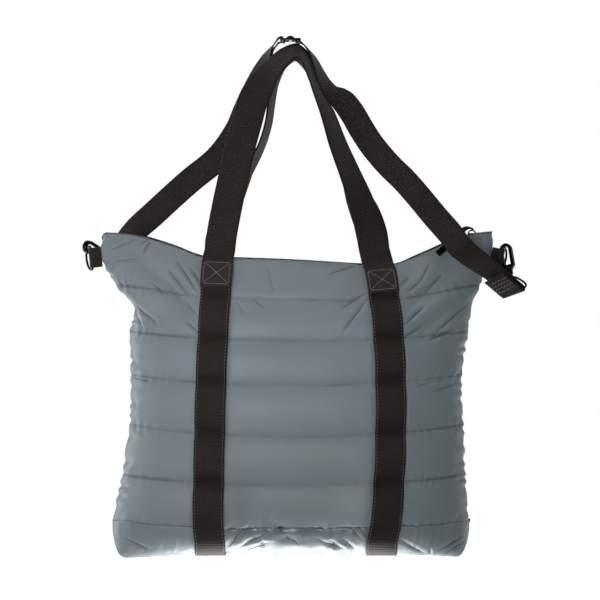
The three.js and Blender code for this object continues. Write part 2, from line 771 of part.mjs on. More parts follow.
function addEnd(side) {
  const { seam, tilt, out, grip, nose, bar } = ENDS[side];
  const outward = outwardOf(side).applyAxisAngle(Y_AXIS, radians(tilt));
  const upright = Z_AXIS.clone().applyAxisAngle(Y_AXIS, radians(tilt));
  const folded = { depth: TAB_WIDTH, bevelEnabled: false, curveSegments: 6 };
  const tab = new THREE.ExtrudeGeometry(tabShape(), folded).translate(0, 0, -TAB_WIDTH / 2);
  addPiece(`side_tab_${side}`, tab, WEBBING, turnedGroup(seam, upright, outward));

  const ringAt = seam.clone().addScaledVector(outward, TAB_REACH);
  const ringGroup = turnedGroup(ringAt, upright, out);
  addPiece(`d_ring_${side}`, ringGeometry(), BLACK_METAL, ringGroup);
  ringGroup.updateMatrixWorld();
  const held = ringGroup.localToWorld(vec(grip.out, 0, grip.up));

  const axis = nose.clone().normalize();
  const swivel = held.addScaledVector(axis, -HOOK.ringHeight);
  const wireway = out.clone().addScaledVector(axis, -out.dot(axis)).normalize();
  const hook = turnedGroup(swivel, axis, wireway.clone().cross(axis));
  addPiece(`hook_body_${side}`, hookBodyGeometry(), BLACK_METAL, hook);
  addPiece(`hook_gate_${side}`, gateGeometry(), BLACK_METAL, hook);

  const loop = turnedGroup(swivel, axis, bar);
  addPiece(`hook_loop_${side}`, strapLoopGeometry(), BLACK_METAL, loop);
  loop.updateMatrixWorld();
  const middle = loop.localToWorld(vec(0, 0, -LOOP.drop));
  strapBars[side] = { middle, bar: loop.localToWorld(vec(1, 0, -LOOP.drop)).sub(middle) };
}

// Rows of a strap that comes in along a direction, turns half round a bar and goes back beside itself.
function turnRows({ middle, bar }, away) {
  const radius = LOOP.wire + 3 * CLEARANCE + STRAP_THICK / 2;
  const from = away.clone().cross(bar).normalize().negate();
  const rows = [];
  for (let step = 0; step <= TURN_STEPS; step++) {
    const spoke = from.clone().applyAxisAngle(bar, (Math.PI * step) / TURN_STEPS);
    rows.push({ at: middle.clone().addScaledVector(spoke, radius), across: bar });
  }
  const straight = (row) => ({ at: row.at.clone().addScaledVector(away, TURN_STRAIGHT), across: bar });
  return [straight(rows[0]), ...rows, straight(rows[TURN_STEPS])];
}

// The strap from its sewn end at the right hook, over the crown, round the left loop and back again.
function addStrap() {
  const rightRun = loopRows(STRAP_RIGHT);
  const leftRun = loopRows(STRAP_LEFT);
  const { x, y, z, bar, slot, thick } = ADJUSTER;
  const pitch = bar + slot;
  const weave = thick / 2 + STRAP_THICK / 2 + 3 * CLEARANCE;
  const onAdjuster = (offset, lift) => ({ at: vec(x + offset, y, z + lift), across: Y_AXIS });
  const hold = bar / 2 + 0.6;
  const bars = [[pitch, -1], [0, 1], [-pitch, -1]];
  const through = bars.flatMap(([offset, sign]) =>
    [hold, -hold].map((side) => onAdjuster(offset + side, sign * weave)),
  );

  const right = strapBars.right;
  const arriving = rightRun[0].at.clone().sub(right.middle).normalize();
  const rightTurn = turnRows(right, arriving);
  const alongside = (row) => ({
    at: row.at.clone().addScaledVector(arriving, STRAP_SEWN_BACK - TURN_STRAIGHT),
    across: right.bar,
  });
  const sewnBack = [alongside(rightTurn[0]), ...rightTurn, alongside(rightTurn.at(-1))];

  const left = strapBars.left;
  const leaving = leftRun.at(-1).at.clone().sub(left.middle).normalize();
  const leftTurn = turnRows(left, leaving);

  const secondPly = [...leftRun].reverse().map((row, i, all) => {
    const before = all[Math.max(i - 1, 0)].at;
    const after = all[Math.min(i + 1, all.length - 1)].at;
    const normal = after.clone().sub(before).cross(row.across).normalize();
    const at = row.at.clone().addScaledVector(normal, STRAP_PLY_GAP);
    return { at, across: row.across, returning: true };
  });
  const sewnEnd = [onAdjuster(-pitch - hold, weave), onAdjuster(-pitch + bar / 2, weave)];

  const firstPly = [...sewnBack, ...rightRun, ...through, ...leftRun, ...leftTurn];
  const rows = [...firstPly, ...secondPly, ...sewnEnd];
  addPiece("shoulder_strap", ribbon(rows, STRAP_WIDTH, STRAP_THICK), WEBBING);
}

function addAdjuster() {
  const { x, y, z, width, bar, slot, thick, inner } = ADJUSTER;
  const block = (length, across, height, middle) =>
    toSolid(new THREE.BoxGeometry(length, across, height).translate(x + middle, y, z));
  let frame = block(3 * bar + 2 * slot, width, thick, 0);
  for (const side of [-1, 1]) {
    frame = frame.subtract(block(slot, inner, thick + 2, (side * (bar + slot)) / 2));
  }
  addPiece("strap_adjuster", toGeometry(frame), BLACK_METAL);
}

addPanel("front_panel", -1);
addPanel("back_panel", 1);
addBase();
addHandle("handle_front", -1, FRONT_LOOP);
addHandle("handle_back", 1, BACK_LOOP);
for (const side of ["left", "right"]) {
  addPatch(`patch_front_${side}`, side, -1);
  addPatch(`patch_back_${side}`, side, 1);
  addEnd(side);
}
addZipTape("zip_tape_front", -1);
addZipTape("zip_tape_back", 1);
addZipSlider();
addZipPuller();
addStrap();
addAdjuster();

export default bag;
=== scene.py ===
"""Looks of a quilted tote bag with webbing handles and a shoulder strap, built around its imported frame."""
import math
from bisect import bisect_right

import bmesh
import bpy
from bpy.props import FloatProperty, FloatVectorProperty, IntProperty, PointerProperty
from bpy.types import Operator, Panel, PropertyGroup
from mathutils import Matrix, Vector, geometry, noise


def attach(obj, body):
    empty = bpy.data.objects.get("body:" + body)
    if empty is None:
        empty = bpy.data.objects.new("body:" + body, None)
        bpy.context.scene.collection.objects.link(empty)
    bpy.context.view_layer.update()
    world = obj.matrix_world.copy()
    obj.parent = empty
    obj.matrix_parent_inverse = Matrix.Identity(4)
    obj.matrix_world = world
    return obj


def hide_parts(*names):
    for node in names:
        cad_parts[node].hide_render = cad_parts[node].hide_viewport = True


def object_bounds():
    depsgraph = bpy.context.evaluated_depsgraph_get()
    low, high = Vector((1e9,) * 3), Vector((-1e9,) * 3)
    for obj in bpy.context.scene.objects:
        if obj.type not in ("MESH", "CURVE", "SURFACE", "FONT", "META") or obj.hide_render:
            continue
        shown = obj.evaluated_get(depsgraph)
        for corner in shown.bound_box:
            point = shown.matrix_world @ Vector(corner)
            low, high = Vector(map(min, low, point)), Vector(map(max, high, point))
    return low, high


bl_info = {
    "name": "Quilted tote bag",
    "version": (1, 0, 0),
    "blender": (4, 5, 0),
    "location": "3D View > Sidebar > Tote Bag",
    "description": "Pads, stitches and finishes a quilted tote bag around its packed frame",
    "category": "Object",
}

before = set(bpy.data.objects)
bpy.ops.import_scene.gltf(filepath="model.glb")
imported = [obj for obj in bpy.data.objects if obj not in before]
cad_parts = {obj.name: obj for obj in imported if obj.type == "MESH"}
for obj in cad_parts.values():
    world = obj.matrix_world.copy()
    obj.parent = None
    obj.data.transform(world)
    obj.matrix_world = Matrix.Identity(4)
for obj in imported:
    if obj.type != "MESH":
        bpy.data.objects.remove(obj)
CAD_LOW, CAD_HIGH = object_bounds()
MM = 0.001

# Shape of the padded body, in millimetres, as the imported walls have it.
# Each section: level, half width on the left and right, half depth, squareness of its outline,
# share of the rim's curve, lift of the sides
SECTIONS = (
    (-250, 244, 247, 24, 1.7, 1.0, 0),
    (-275, 242, 243, 38, 1.8, 0.65, 3),
    (-299, 225, 230, 50, 2.0, 0.36, 5),
    (-322, 203, 220, 56, 2.2, 0.18, 7),
    (-351, 207, 215, 62, 2.4, 0.06, 10),
    (-406, 206, 207, 68, 2.6, 0, 13),
    (-469, 208, 209, 71, 2.8, 0, 14),
    (-529, 217, 211, 73, 3.0, 0, 12),
    (-582, 229, 216, 73, 3.2, 0, 8),
)
# Height of the rim along the bag
RIM = (
    *((-244, -222), (-240, -216.5), (-230, -215.5), (-195, -220), (-145, -235), (-116, -246), (-79, -247)),
    *((0, -250), (86, -255), (124, -255), (155, -243), (215, -218), (247, -214)),
)
STITCH_LEVELS = (-582, -529, -469, -406, -351, -299, -250)
BASE_LEVEL, RIM_LEVEL = STITCH_LEVELS[0], STITCH_LEVELS[-1]
BASE_Z = -614
CORNER_DROOP = 10
BASE_ROUND = 32
SIDE_ROUND = 18
SEAM_HALF = 0.1
WALL_AT_STITCH = 3
LOFT = 6
# Between the handles, in a stretch of this half width, the lower channels lean in towards the base
LEAN = 8
LEAN_FROM = -480
LEAN_HALF = 72

# Where the handles are sewn down: level and place across, on the left and on the right
HANDLE_LINES = (
    ((-614, -106), (-582, -108), (-514, -107), (-395, -104), (-288, -99), (-240, -96)),
    ((-614, 106), (-582, 110), (-530, 114), (-470, 116), (-400, 116), (-335, 113), (-275, 106), (-240, 100)),
)
HANDLE_WIDTH = 38
HANDLE_HALF = HANDLE_WIDTH / 2

# Tension folds of the walls: from, to, width and depth of the valley
FOLDS = (
    (-205, -245, -125, -300, 24, 5),
    (-160, -265, -112, -345, 20, 4.5),
    (-212, -232, -170, -262, 18, 3),
    (205, -262, 130, -318, 24, 5),
    (205, -300, 142, -352, 22, 4.5),
    (160, -252, 128, -290, 18, 3.5),
    (92, -280, 40, -318, 20, 2),
)
# Sharper creases in the walls and in the roll under them, in the same form
CREASES = (
    (-148, -251, -120, -294, 5, 2.2),
    (-160, -262, -136, -294, 5, 1.8),
    (-129, -262, -117, -280, 4, 1.4),
    (-179, -279, -161, -294, 4, 1.5),
    (-234, -239, -201, -225, 4, 1.6),
    (-197, -233, -180, -223, 4, 1.4),
    (-191, -244, -180, -226, 4, 1.5),
    (-224, -251, -196, -249, 4, 1.2),
    (-204, -303, -170, -331, 5, 2.4),
    (-203, -309, -189, -337, 4, 2.0),
    (-138, -301, -121, -321, 5, 1.6),
    (-136, -326, -121, -338, 4, 1.3),
    (-205, -396, -178, -402, 4, 1.5),
    (-209, -415, -196, -436, 4, 1.5),
    (-76, -300, -62, -318, 4, 1.0),
    (-56, -296, -36, -312, 4, 1.0),
    (-36, -258, -26, -292, 5, 0.8),
    (84, -254, 38, -269, 4, 1.6),
    (88, -291, 54, -312, 5, 1.8),
    (88, -300, 58, -340, 5, 1.6),
    (129, -284, 141, -272, 4, 1.4),
    (138, -290, 156, -277, 5, 1.8),
    (153, -280, 166, -254, 5, 1.6),
    (160, -293, 183, -268, 5, 1.5),
    (134, -331, 160, -307, 5, 2.2),
    (134, -347, 157, -333, 5, 1.8),
    (168, -346, 217, -302, 6, 2.2),
    (162, -351, 198, -336, 5, 2.2),
    (196, -352, 206, -345, 4, 1.4),
    (166, -414, 206, -402, 5, 1.8),
    (150, -406, 180, -400, 4, 1.2),
    (-215, -594, -178, -611, 5, 2.0),
    (-88, -610, -62, -579, 5, 2.2),
    (-76, -609, -37, -587, 5, 2.0),
    (-66, -611, -30, -598, 5, 1.8),
    (-46, -592, -33, -611, 4, 1.6),
    (-29, -573, -2, -604, 5, 2.4),
    (-14, -586, -2, -609, 5, 2.2),
    (-9, -586, 12, -613, 5, 2.0),
    (24, -594, 76, -614, 5, 2.2),
    (40, -594, 62, -614, 5, 2.0),
    (58, -594, 78, -613, 5, 2.2),
    (76, -578, 87, -591, 4, 1.8),
    (64, -578, 84, -597, 4, 1.6),
    (126, -594, 166, -618, 5, 1.4),
    (176, -611, 208, -593, 5, 2.0),
    (184, -614, 212, -598, 4, 1.6),
    (166, -606, 168, -621, 4, 1.6),
)

# Grids of the walls and the base before they are refined
WALL_COLUMNS = 144
ROWS_PER_CHANNEL = 18
BASE_ROWS = 44
SAME_PLACE = 1e-6


def linear(code):
    """Linear colour of an sRGB hex code."""
    parts = [int(code[i : i + 2], 16) / 255 for i in (1, 3, 5)]
    return tuple(p / 12.92 if p <= 0.04045 else ((p + 0.055) / 1.055) ** 2.4 for p in parts) + (1.0,)


def colour_property(name, description, code):
    return FloatVectorProperty(
        name=name, description=description, subtype="COLOR", size=4, min=0, max=1, default=linear(code)
    )


def length_property(name, description, millimetres):
    return FloatProperty(
        name=name, description=description, subtype="DISTANCE", unit="LENGTH", min=0, default=millimetres * MM
    )


class ToteSizes(PropertyGroup):
    puff: length_property("Puff", "How far a channel stands out of the stitched form", 4)
    sunk_stitch: length_property("Sunk stitch", "How deep the quilting pulls the cloth in", 1.0)
    pressed: length_property("Pressed", "How far sewn webbing presses the padding in", 1.3)
    pressure: FloatProperty(name="Filling", description="Pressure of the filling in the cloth", default=1.2)
    slack: FloatProperty(name="Slack", description="Spare cloth along the side seams", default=0.09)
    furthest: length_property("Furthest", "Cap on how far the cloth settles", 6)
    frames: IntProperty(name="Frames", description="Steps in which the cloth settles", default=14)
    handle_width: length_property("Handle width", "Width of the handle webbing", HANDLE_WIDTH)
    handle_thick: length_property("Handle thickness", "Thickness of the handle webbing", 2.2)
    strap_width: length_property("Strap width", "Width of the shoulder strap", 32)
    strap_thick: length_property("Strap thickness", "Thickness of the shoulder strap", 1.6)
    patch_width: length_property("Patch width", "Width of the leather patches", 39)
    patch_thick: length_property("Patch thickness", "Thickness of the leather patches", 1.4)
    tape_width: length_property("Zip tape width", "Width of each zip tape", 16)
    tape_thick: length_property("Zip tape thickness", "Thickness of each zip tape", 1)
    tape_sunk: length_property("Tape sunk", "How far the zip sinks behind the rim as the cloth puffs up", 1)
    stitch: length_property("Stitch", "Length of one stitch", 3.0)
    stitch_gap: length_property("Stitch gap", "Space between two stitches", 1.2)
    patch_gap: length_property("Patch stitch gap", "Space between two stitches on the patches", 0.4)
    thread: length_property("Thread", "Radius of the sewing thread", 0.32)
    webbing_stitch: length_property("Webbing thread", "Radius of the handles' thread, thick to show", 0.45)
    tooth_pitch: length_property("Tooth pitch", "Spacing of the zip's coil", 2.2)
    bevel: length_property("Metal edge", "Rounding of the metal edges", 0.35)


class ToteColours(PropertyGroup):
    shell: colour_property("Shell", "Coated nylon of the walls and base", "#6d777d")
    lining: colour_property("Lining", "Polyester lining", "#4b5256")
    webbing: colour_property("Webbing", "Handles and strap", "#19140f")
    patch: colour_property("Patch", "Leather patches", "#272120")
    shell_thread: colour_property("Quilting thread", "Thread of the quilted lines", "#5d666b")
    hem_thread: colour_property("Hem thread", "Thread along the rim", "#9aa2a6")
    webbing_thread: colour_property("Webbing thread", "Thread along the webbing", "#5a5049")
    strap_thread: colour_property("Strap thread", "Zigzag rows of the strap's end", "#6a615a")
    patch_thread: colour_property("Patch thread", "Thread of the boxed crosses", "#86796f")
    zip_tape: colour_property("Zip tape", "Cloth of the zip", "#24262a")
    metal: colour_property("Metal", "Black plated hardware", "#121214")


# Shape of the body


def curve_through(points):
    """A smooth curve through pairs of key and value, in rising order of key."""
    keys, values = zip(*points)
    last = len(keys) - 1

    def slope(i):
        before, after = max(i - 1, 0), min(i + 1, last)
        return (values[after] - values[before]) / (keys[after] - keys[before])

    def at(key):
        key = min(max(key, keys[0]), keys[-1])
        j = min(bisect_right(keys, key) - 1, last - 1)
        span = keys[j + 1] - keys[j]
        t = (key - keys[j]) / span
        bend = t * (1 - t) * span
        step = (values[j + 1] - values[j]) * t * t * (3 - 2 * t)
        return values[j] + step + bend * ((1 - t) * slope(j) - t * slope(j + 1))

    return at


LEFT, RIGHT, DEPTH, SQUARE, RIM_SHARE, RISE = (
    curve_through([(row[0], row[i]) for row in reversed(SECTIONS)]) for i in range(1, 7)
)
rim_line = curve_through(RIM)
handle_lines = [curve_through(line) for line in HANDLE_LINES]


def half_width(x, level):
    return LEFT(level) if x < 0 else RIGHT(level)


def stitched_point(x, level):
    """Point of a wall where it is stitched, without its puff. Depth counts outwards."""
    share = min(abs(x) / half_width(x, level), 1)
    bulge = (1 - share ** SQUARE(level)) ** (1 / SQUARE(level))
    lift = (rim_line(x) - RIM_LEVEL) * RIM_SHARE(level) + RISE(level) * share**2
    lean = LEAN * math.exp(-((x / LEAN_HALF) ** 6)) * max(0, (level - LEAN_FROM) / (BASE_LEVEL - LEAN_FROM))
    return Vector((x, SEAM_HALF + (DEPTH(level) - SEAM_HALF) * bulge - lean, level + lift))


def column_places(level, columns):
    """Places across the bag, closer together towards the side seams."""
    places = []
    for k in range(columns + 1):
        angle = math.radians(-90 + 180 * k / columns)
        share = abs(math.sin(angle)) ** (2 / SQUARE(level))
        places.append(-share * LEFT(level) if angle < 0 else share * RIGHT(level))
    return places


def base_point(x, depth):
    """Underside of the base. depth runs from -1 at the front seam to 1 at the back seam."""
    edge = stitched_point(x, BASE_LEVEL)
    to_side = (half_width(x, BASE_LEVEL) - abs(x)) / SIDE_ROUND
    to_edge = edge.y * (1 - abs(depth)) / BASE_ROUND
    near = min(to_side, to_edge, 1)
    rolled = math.sqrt(max(1 - (1 - near) ** 2, 0))
    bottom = BASE_Z - CORNER_DROOP * (abs(x) / LEFT(BASE_LEVEL)) ** 4
    return Vector((x, edge.y * depth, edge.z + (bottom - edge.z) * rolled))


def channel(level):
    """0 on a stitch line and 1 in the middle of a channel."""
    i = min(bisect_right(STITCH_LEVELS, level), len(STITCH_LEVELS) - 1)
    share = (level - STITCH_LEVELS[i - 1]) / (STITCH_LEVELS[i] - STITCH_LEVELS[i - 1])
    return math.sin(math.pi * min(max(share, 0), 1)) ** 0.75


def strokes_near(x, z, folds):
    """Folds beside a place: how deep each is there, its half width, and the distance to one side of it."""
    for x0, z0, x1, z1, width, deep in folds:
        dx, dz = x1 - x0, z1 - z0
        square = dx * dx + dz * dz
        along = ((x - x0) * dx + (z - z0) * dz) / square
        if 0 < along < 1:
            aside = ((x - x0) * dz - (z - z0) * dx) / math.sqrt(square)
            if abs(aside) < 2 * width:
                yield deep * math.sin(math.pi * along) ** 0.7, width / 2, aside


def valley(x, z, folds):
    """How deep the folds sink at a place on the wall, less the lips they raise."""
    lips, lips_away, sharpness = 0.3, 1.8, 1.4
    sunk = 0
    for deep, half, aside in strokes_near(x, z, folds):
        away = abs(aside) / half
        sunk += deep * (math.exp(-(away**sharpness)) - lips * math.exp(-((away - lips_away) ** 2)))
    return sunk


def nearest_crease(x, z):
    """Distance to one side of the deepest crease here, and its strength, which is 0 further away."""
    reach, deepest = 6, 2.4
    found = [(d / deepest * max(0, 1 - abs(a) / reach), a) for d, half, a in strokes_near(x, z, CREASES)]
    strength, aside = max(found, default=(0, reach))
    return aside, strength


def seam_wave(x):
    """Millimetres by which the base seam wanders up and down."""
    height, rate, seed = 3.0, 0.035, 5.2
    return height * noise.noise(Vector((x * rate, seed, 0)))


def under_webbing(x, level, spare):
    """True where sewn webbing covers the cloth, within spare millimetres of its edges."""
    half = HANDLE_HALF + spare
    return any(abs(x - line(level)) < half for line in handle_lines)


def gathers(x, level):
    """Small puckers where the cloth is sewn: along the quilted lines, the sides and beside the webbing."""
    line_depth, line_reach, line_pitch = 0.75, 9, 2.0
    side_depth, side_reach, side_pitch = 1.5, 16, 2.6
    least, near_side, near_webbing = 0.15, 35, 22
    to_side = max(half_width(x, level) - abs(x), 0)
    to_stitch = min(abs(level - s) for s in STITCH_LEVELS)
    to_webbing = min(abs(abs(x - line(level)) - HANDLE_HALF) for line in handle_lines)
    place = Vector((x * 0.025, level * 0.03, 0))
    wander = 9 * noise.noise(place)
    strength = least + math.exp(-to_side / near_side) + 0.6 * math.exp(-to_webbing / near_webbing)
    along_line = strength * math.exp(-((to_stitch / line_reach) ** 2)) * math.sin(x / line_pitch + wander)
    patchy = max(0, 0.6 + noise.noise(place * 2.7))
    along_side = patchy * math.exp(-((to_side / side_reach) ** 2)) * math.sin(level / side_pitch + wander)
    return line_depth * along_line + side_depth * along_side


def sharp_crumples(x, along):
    """Ridges of crumpled cloth below the base seam: about 1 on the ridges and below 0 in the hollows."""
    place = Vector((x * 0.055 + along * 0.02, along * 0.022, 3.7))
    broad = 0.7 - 2.4 * abs(noise.noise(place))
    fine = 0.35 - 1.3 * abs(noise.noise(place * 2.1))
    return broad + fine


def near_middle(x):
    """1 between the handles, where the base is crumpled most, and less towards the sides."""
    least, half = 0.25, 100
    return least + (1 - least) * math.exp(-((x / half) ** 6))


# Meshes and pieces


def grid_mesh(columns, rows, place, uv_at):
    """A grid whose vertices run along the columns of each row, placed by place(column, row)."""
    bm = bmesh.new()
    bmesh.ops.create_grid(bm, x_segments=columns, y_segments=rows, size=0.5)
    cell = {v: (round((v.co.y + 0.5) * rows), round((v.co.x + 0.5) * columns)) for v in bm.verts}
    bm.verts.sort(key=lambda v: cell[v][0] * (columns + 1) + cell[v][1])
    uv = bm.loops.layers.uv.new("UVMap")
    for face in bm.faces:
        for loop in face.loops:
            row, column = cell[loop.vert]
            loop[uv].uv = uv_at(column, row)
    for vert in bm.verts:
        row, column = cell[vert]
        vert.co = place(column, row)
    bm.normal_update()
    return bm


def make_piece(bm, name, material, *, smooth=True):
    """An object at the origin from a bmesh, which is used up."""
    mesh = bpy.data.meshes.new(name)
    for face in bm.faces:
        face.smooth = smooth
    bm.to_mesh(mesh)
    bm.free()
    piece = bpy.data.objects.new(name, mesh)
    bpy.context.scene.collection.objects.link(piece)
    for finish in material if isinstance(material, (list, tuple)) else (material,):
        mesh.materials.append(finish)
    return piece


def hang_on(piece, slot, *nodes, body="bag"):
    """Makes a piece ride on a body and hides the frame's nodes that it stands for. slot is not used."""
    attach(piece, body)
    if nodes:
        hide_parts(*nodes)
    return piece


def subdivide(piece, levels=1):
    smoother = piece.modifiers.new("Smooth", "SUBSURF")
    smoother.levels = smoother.render_levels = levels
    smoother.boundary_smooth = "PRESERVE_CORNERS"


def refine(piece, values):
    """Splits every face in four in the mesh itself. Values on the vertices come back as fine as that."""
    coarse = piece.data
    for name, numbers in values.items():
        coarse.attributes.new(name, "FLOAT", "POINT").data.foreach_set("value", numbers)
    subdivide(piece)
    shaped = piece.evaluated_get(bpy.context.evaluated_depsgraph_get())
    piece.data = bpy.data.meshes.new_from_object(shaped)
    bpy.data.meshes.remove(coarse)
    piece.data.name = piece.name
    piece.modifiers.clear()
    piece.vertex_groups.clear()
    finer = []
    for name in values:
        numbers = [0.0] * len(piece.data.vertices)
        piece.data.attributes[name].data.foreach_get("value", numbers)
        piece.data.attributes.remove(piece.data.attributes[name])
        finer.append(numbers)
    return finer


def merged_copy(node):
    """A bmesh of a node of the frame, with its loose triangles joined."""
    bm = bmesh.new()
    bm.from_mesh(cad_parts[node].data)
    bmesh.ops.remove_doubles(bm, verts=bm.verts, dist=SAME_PLACE)
    return bm


# Padded cloth


def weigh(piece, name, weights):
    group = piece.vertex_groups.new(name=name)
    for index, weight in enumerate(weights):
        group.add((index,), min(max(weight, 0), 1), "REPLACE")
    return group.name


def settle(piece, pins, slack, sizes):
    """Fills the cloth and lets it wrinkle between the pinned seams. The result is kept in the mesh."""
    start = [v.co.copy() for v in piece.data.vertices]
    cloth = piece.modifiers.new("Cloth", "CLOTH")
    how = cloth.settings
    how.quality = 5
    how.mass = 0.12
    how.tension_stiffness = how.compression_stiffness = 18
    how.shear_stiffness = 8
    how.bending_stiffness = 0.03
    how.air_damping = 4
    how.use_pressure = True
    how.uniform_pressure_force = sizes.pressure
    how.vertex_group_mass = weigh(piece, "pins", pins)
    how.vertex_group_shrink = weigh(piece, "slack", slack)
    how.shrink_min = 0
    how.shrink_max = -sizes.slack
    how.effector_weights.gravity = 0
    cloth.collision_settings.use_collision = False
    cloth.point_cache.frame_end = sizes.frames
    for step in range(1, sizes.frames + 1):
        bpy.context.scene.frame_set(step)
    shaped = piece.evaluated_get(bpy.context.evaluated_depsgraph_get())
    moved = [v.co.copy() for v in shaped.data.vertices]
    piece.modifiers.remove(cloth)
    bpy.context.scene.frame_set(1)
    for vert, old, new in zip(piece.data.vertices, start, moved):
        way = new - old
        vert.co = old + way * min(1, sizes.furthest / max(way.length, 1e-9))


def press_along_normals(piece, depths):
    """Moves each vertex inwards along its normal."""
    normals = [v.normal.copy() for v in piece.data.vertices]
    for vert, normal, depth in zip(piece.data.vertices, normals, depths):
        vert.co -= normal * depth


def line_cloth(piece, thickness):
    """Gives the cloth its padding and lining, as thick as the list says."""
    most = max(thickness)
    padding = piece.modifiers.new("Padding", "SOLIDIFY")
    padding.thickness = most
    padding.offset = -1
    padding.vertex_group = weigh(piece, "loft", [t / most for t in thickness])
    padding.thickness_vertex_group = 0
    padding.material_offset = 1


def mark(piece, name, numbers):
    """Keeps a number on each vertex for the material to read."""
    piece.data.attributes.new(name, "FLOAT", "POINT").data.foreach_set("value", numbers)


def mark_creases(piece, places):
    aside, strength = zip(*(nearest_crease(x, v.co.z / MM) for v, x in zip(piece.data.vertices, places)))
    mark(piece, "crease_aside", aside)
    mark(piece, "crease_strength", strength)


def wall_levels():
    levels = []
    for low, high in zip(STITCH_LEVELS, STITCH_LEVELS[1:]):
        levels += [low + (high - low) * k / ROWS_PER_CHANNEL for k in range(ROWS_PER_CHANNEL)]
    return levels + [RIM_LEVEL]


def make_wall(name, face, materials, sizes):
    """One quilted wall. face is -1 for the front and 1 for the back."""
    wave_height, middle_level = 15, -400
    thinnest, clear_of_middle = 0.05 * MM, 0.3 * MM
    levels = wall_levels()
    places = [column_places(level, WALL_COLUMNS) for level in levels]
    if face > 0:
        places = [row[::-1] for row in places]
    spots = [(x, level) for level, row in zip(levels, places) for x in row]
    rows = len(levels) - 1

    def place(column, row):
        point = stitched_point(places[row][column], levels[row])
        point.z += seam_wave(point.x) * math.exp(-(levels[row] - BASE_LEVEL) / wave_height)
        return Vector((point.x, face * point.y, point.z)) * MM

    span, height = LEFT(middle_level) + RIGHT(middle_level), RIM_LEVEL - BASE_LEVEL
    bm = grid_mesh(
        WALL_COLUMNS,
        rows,
        place,
        lambda column, row: (column / WALL_COLUMNS * span * MM, row / rows * height * MM),
    )
    stitched = [(i // (WALL_COLUMNS + 1)) % ROWS_PER_CHANNEL == 0 for i in range(len(spots))]
    for vert, (x, level), sewn in zip(list(bm.verts), spots, stitched):
        vert.co += vert.normal * puff_at(x, level, vert.co.z / MM, face, sewn, sizes)
    wall = make_piece(bm, name, materials)

    edge = [i % (WALL_COLUMNS + 1) in (0, WALL_COLUMNS) for i in range(len(spots))]
    pins = [float(e or s or under_webbing(x, l, 2)) for e, s, (x, l) in zip(edge, stitched, spots)]
    settle(wall, pins, [wall_slack(x, level) for x, level in spots], sizes)
    spots = list(zip(*refine(wall, {"across": [s[0] for s in spots], "level": [s[1] for s in spots]})))
    press_along_normals(wall, [crumple(v, x, level) * MM for v, (x, level) in zip(wall.data.vertices, spots)])
    mark_creases(wall, [x for x, level in spots])
    # Painted shade along the stitch lines, which the material darkens the cloth with
    mark(wall, "seam_shade", [seam_shade(x, level) for x, level in spots])
    mark(wall, "crumpled", [crumpled(x, level) for x, level in spots])
    thickness = []
    for vert, (x, level) in zip(wall.data.vertices, spots):
        padded = (WALL_AT_STITCH + LOFT * channel(level) * from_seam(x, level)) * MM
        thickness.append(max(min(padded, abs(vert.co.y) - clear_of_middle), thinnest))
    line_cloth(wall, thickness)
    return wall


def puff_at(x, level, z, face, sewn, sizes):
    """How far the filling pushes the cloth out, less the folds, in metres."""
    uneven_puff, uneven_stitch = 0.35, 0.6
    share = from_seam(x, level)
    uneven = noise.noise(Vector((x * 0.014, level * 0.02, face)))
    puff = sizes.puff * channel(level) * share * (1 + uneven_puff * uneven)
    puff -= valley(x, z, FOLDS) * share * MM
    if under_webbing(x, level, 1):
        puff -= sizes.pressed
    elif sewn:
        puff -= sizes.sunk_stitch * share * (1 + uneven_stitch * uneven)
    return puff


def seam_shade(x, level):
    """Painted shade that darkens the cloth along a stitch line: plain at the sides, fading towards the
    middle.
    """
    half_line, side_reach, in_middle, least = 1.4, 50, 0.22, 0.05
    line = math.exp(-((min(abs(level - s) for s in STITCH_LEVELS[1:]) / half_line) ** 2))
    to_side = max(half_width(x, level) - abs(x), 0)
    uneven = 0.6 * noise.noise(Vector((x * 0.03, level * 0.05, 8)))
    return line * min(max(in_middle + math.exp(-to_side / side_reach) + uneven, least), 1)


def crumpled(x, level):
    """How crumpled the cloth is: over the base seam, along the sides and in the waist on the left."""
    if under_webbing(x, level, 0):
        return 0
    base_reach, side_reach = 10, 13
    waist_level, waist_height, waist_reach = -318, 24, 30
    to_side = max(half_width(x, level) - abs(x), 0)
    patchy = min(max(0.4 + 1.2 * noise.noise(Vector((level * 0.03, x * 0.01, 2.5))), 0), 1)
    low = math.exp(-((level - BASE_LEVEL) / base_reach)) * near_middle(x)
    side = patchy * math.exp(-((to_side / side_reach) ** 2))
    waist = math.exp(-(((level - waist_level) / waist_height) ** 2) - (to_side / waist_reach) ** 2)
    return min(0.8 * low + 0.7 * side + (0.8 * waist if x < 0 else 0), 1)


def from_seam(x, level):
    """0 at a side seam, and 1 over most of the wall."""
    return 1 - min(abs(x) / half_width(x, level), 1) ** 6


def wall_slack(x, level):
    """Share of the spare cloth: most along the side seams and in the wings."""
    wing_from, wing_height = -351, 101
    share = min(abs(x) / half_width(x, level), 1)
    wing = max(0, (level - wing_from) / wing_height)
    return 0.25 + 0.75 * share**5 + 0.35 * wing * share


def crumple(vert, x, level):
    """Millimetres by which creases and gathers sink the cloth."""
    if under_webbing(x, level, 0.5):
        return 0
    base_reach, crush_depth, crease_share = 14, 2.2, 1.35
    low = math.exp(-((level - BASE_LEVEL) / base_reach)) * near_middle(x)
    crushed = crush_depth * low * sharp_crumples(x, BASE_LEVEL - level - DEPTH(BASE_LEVEL))
    creased = crease_share * valley(x, vert.co.z / MM, CREASES) * from_seam(x, level)
    return creased + gathers(x, level) - crushed


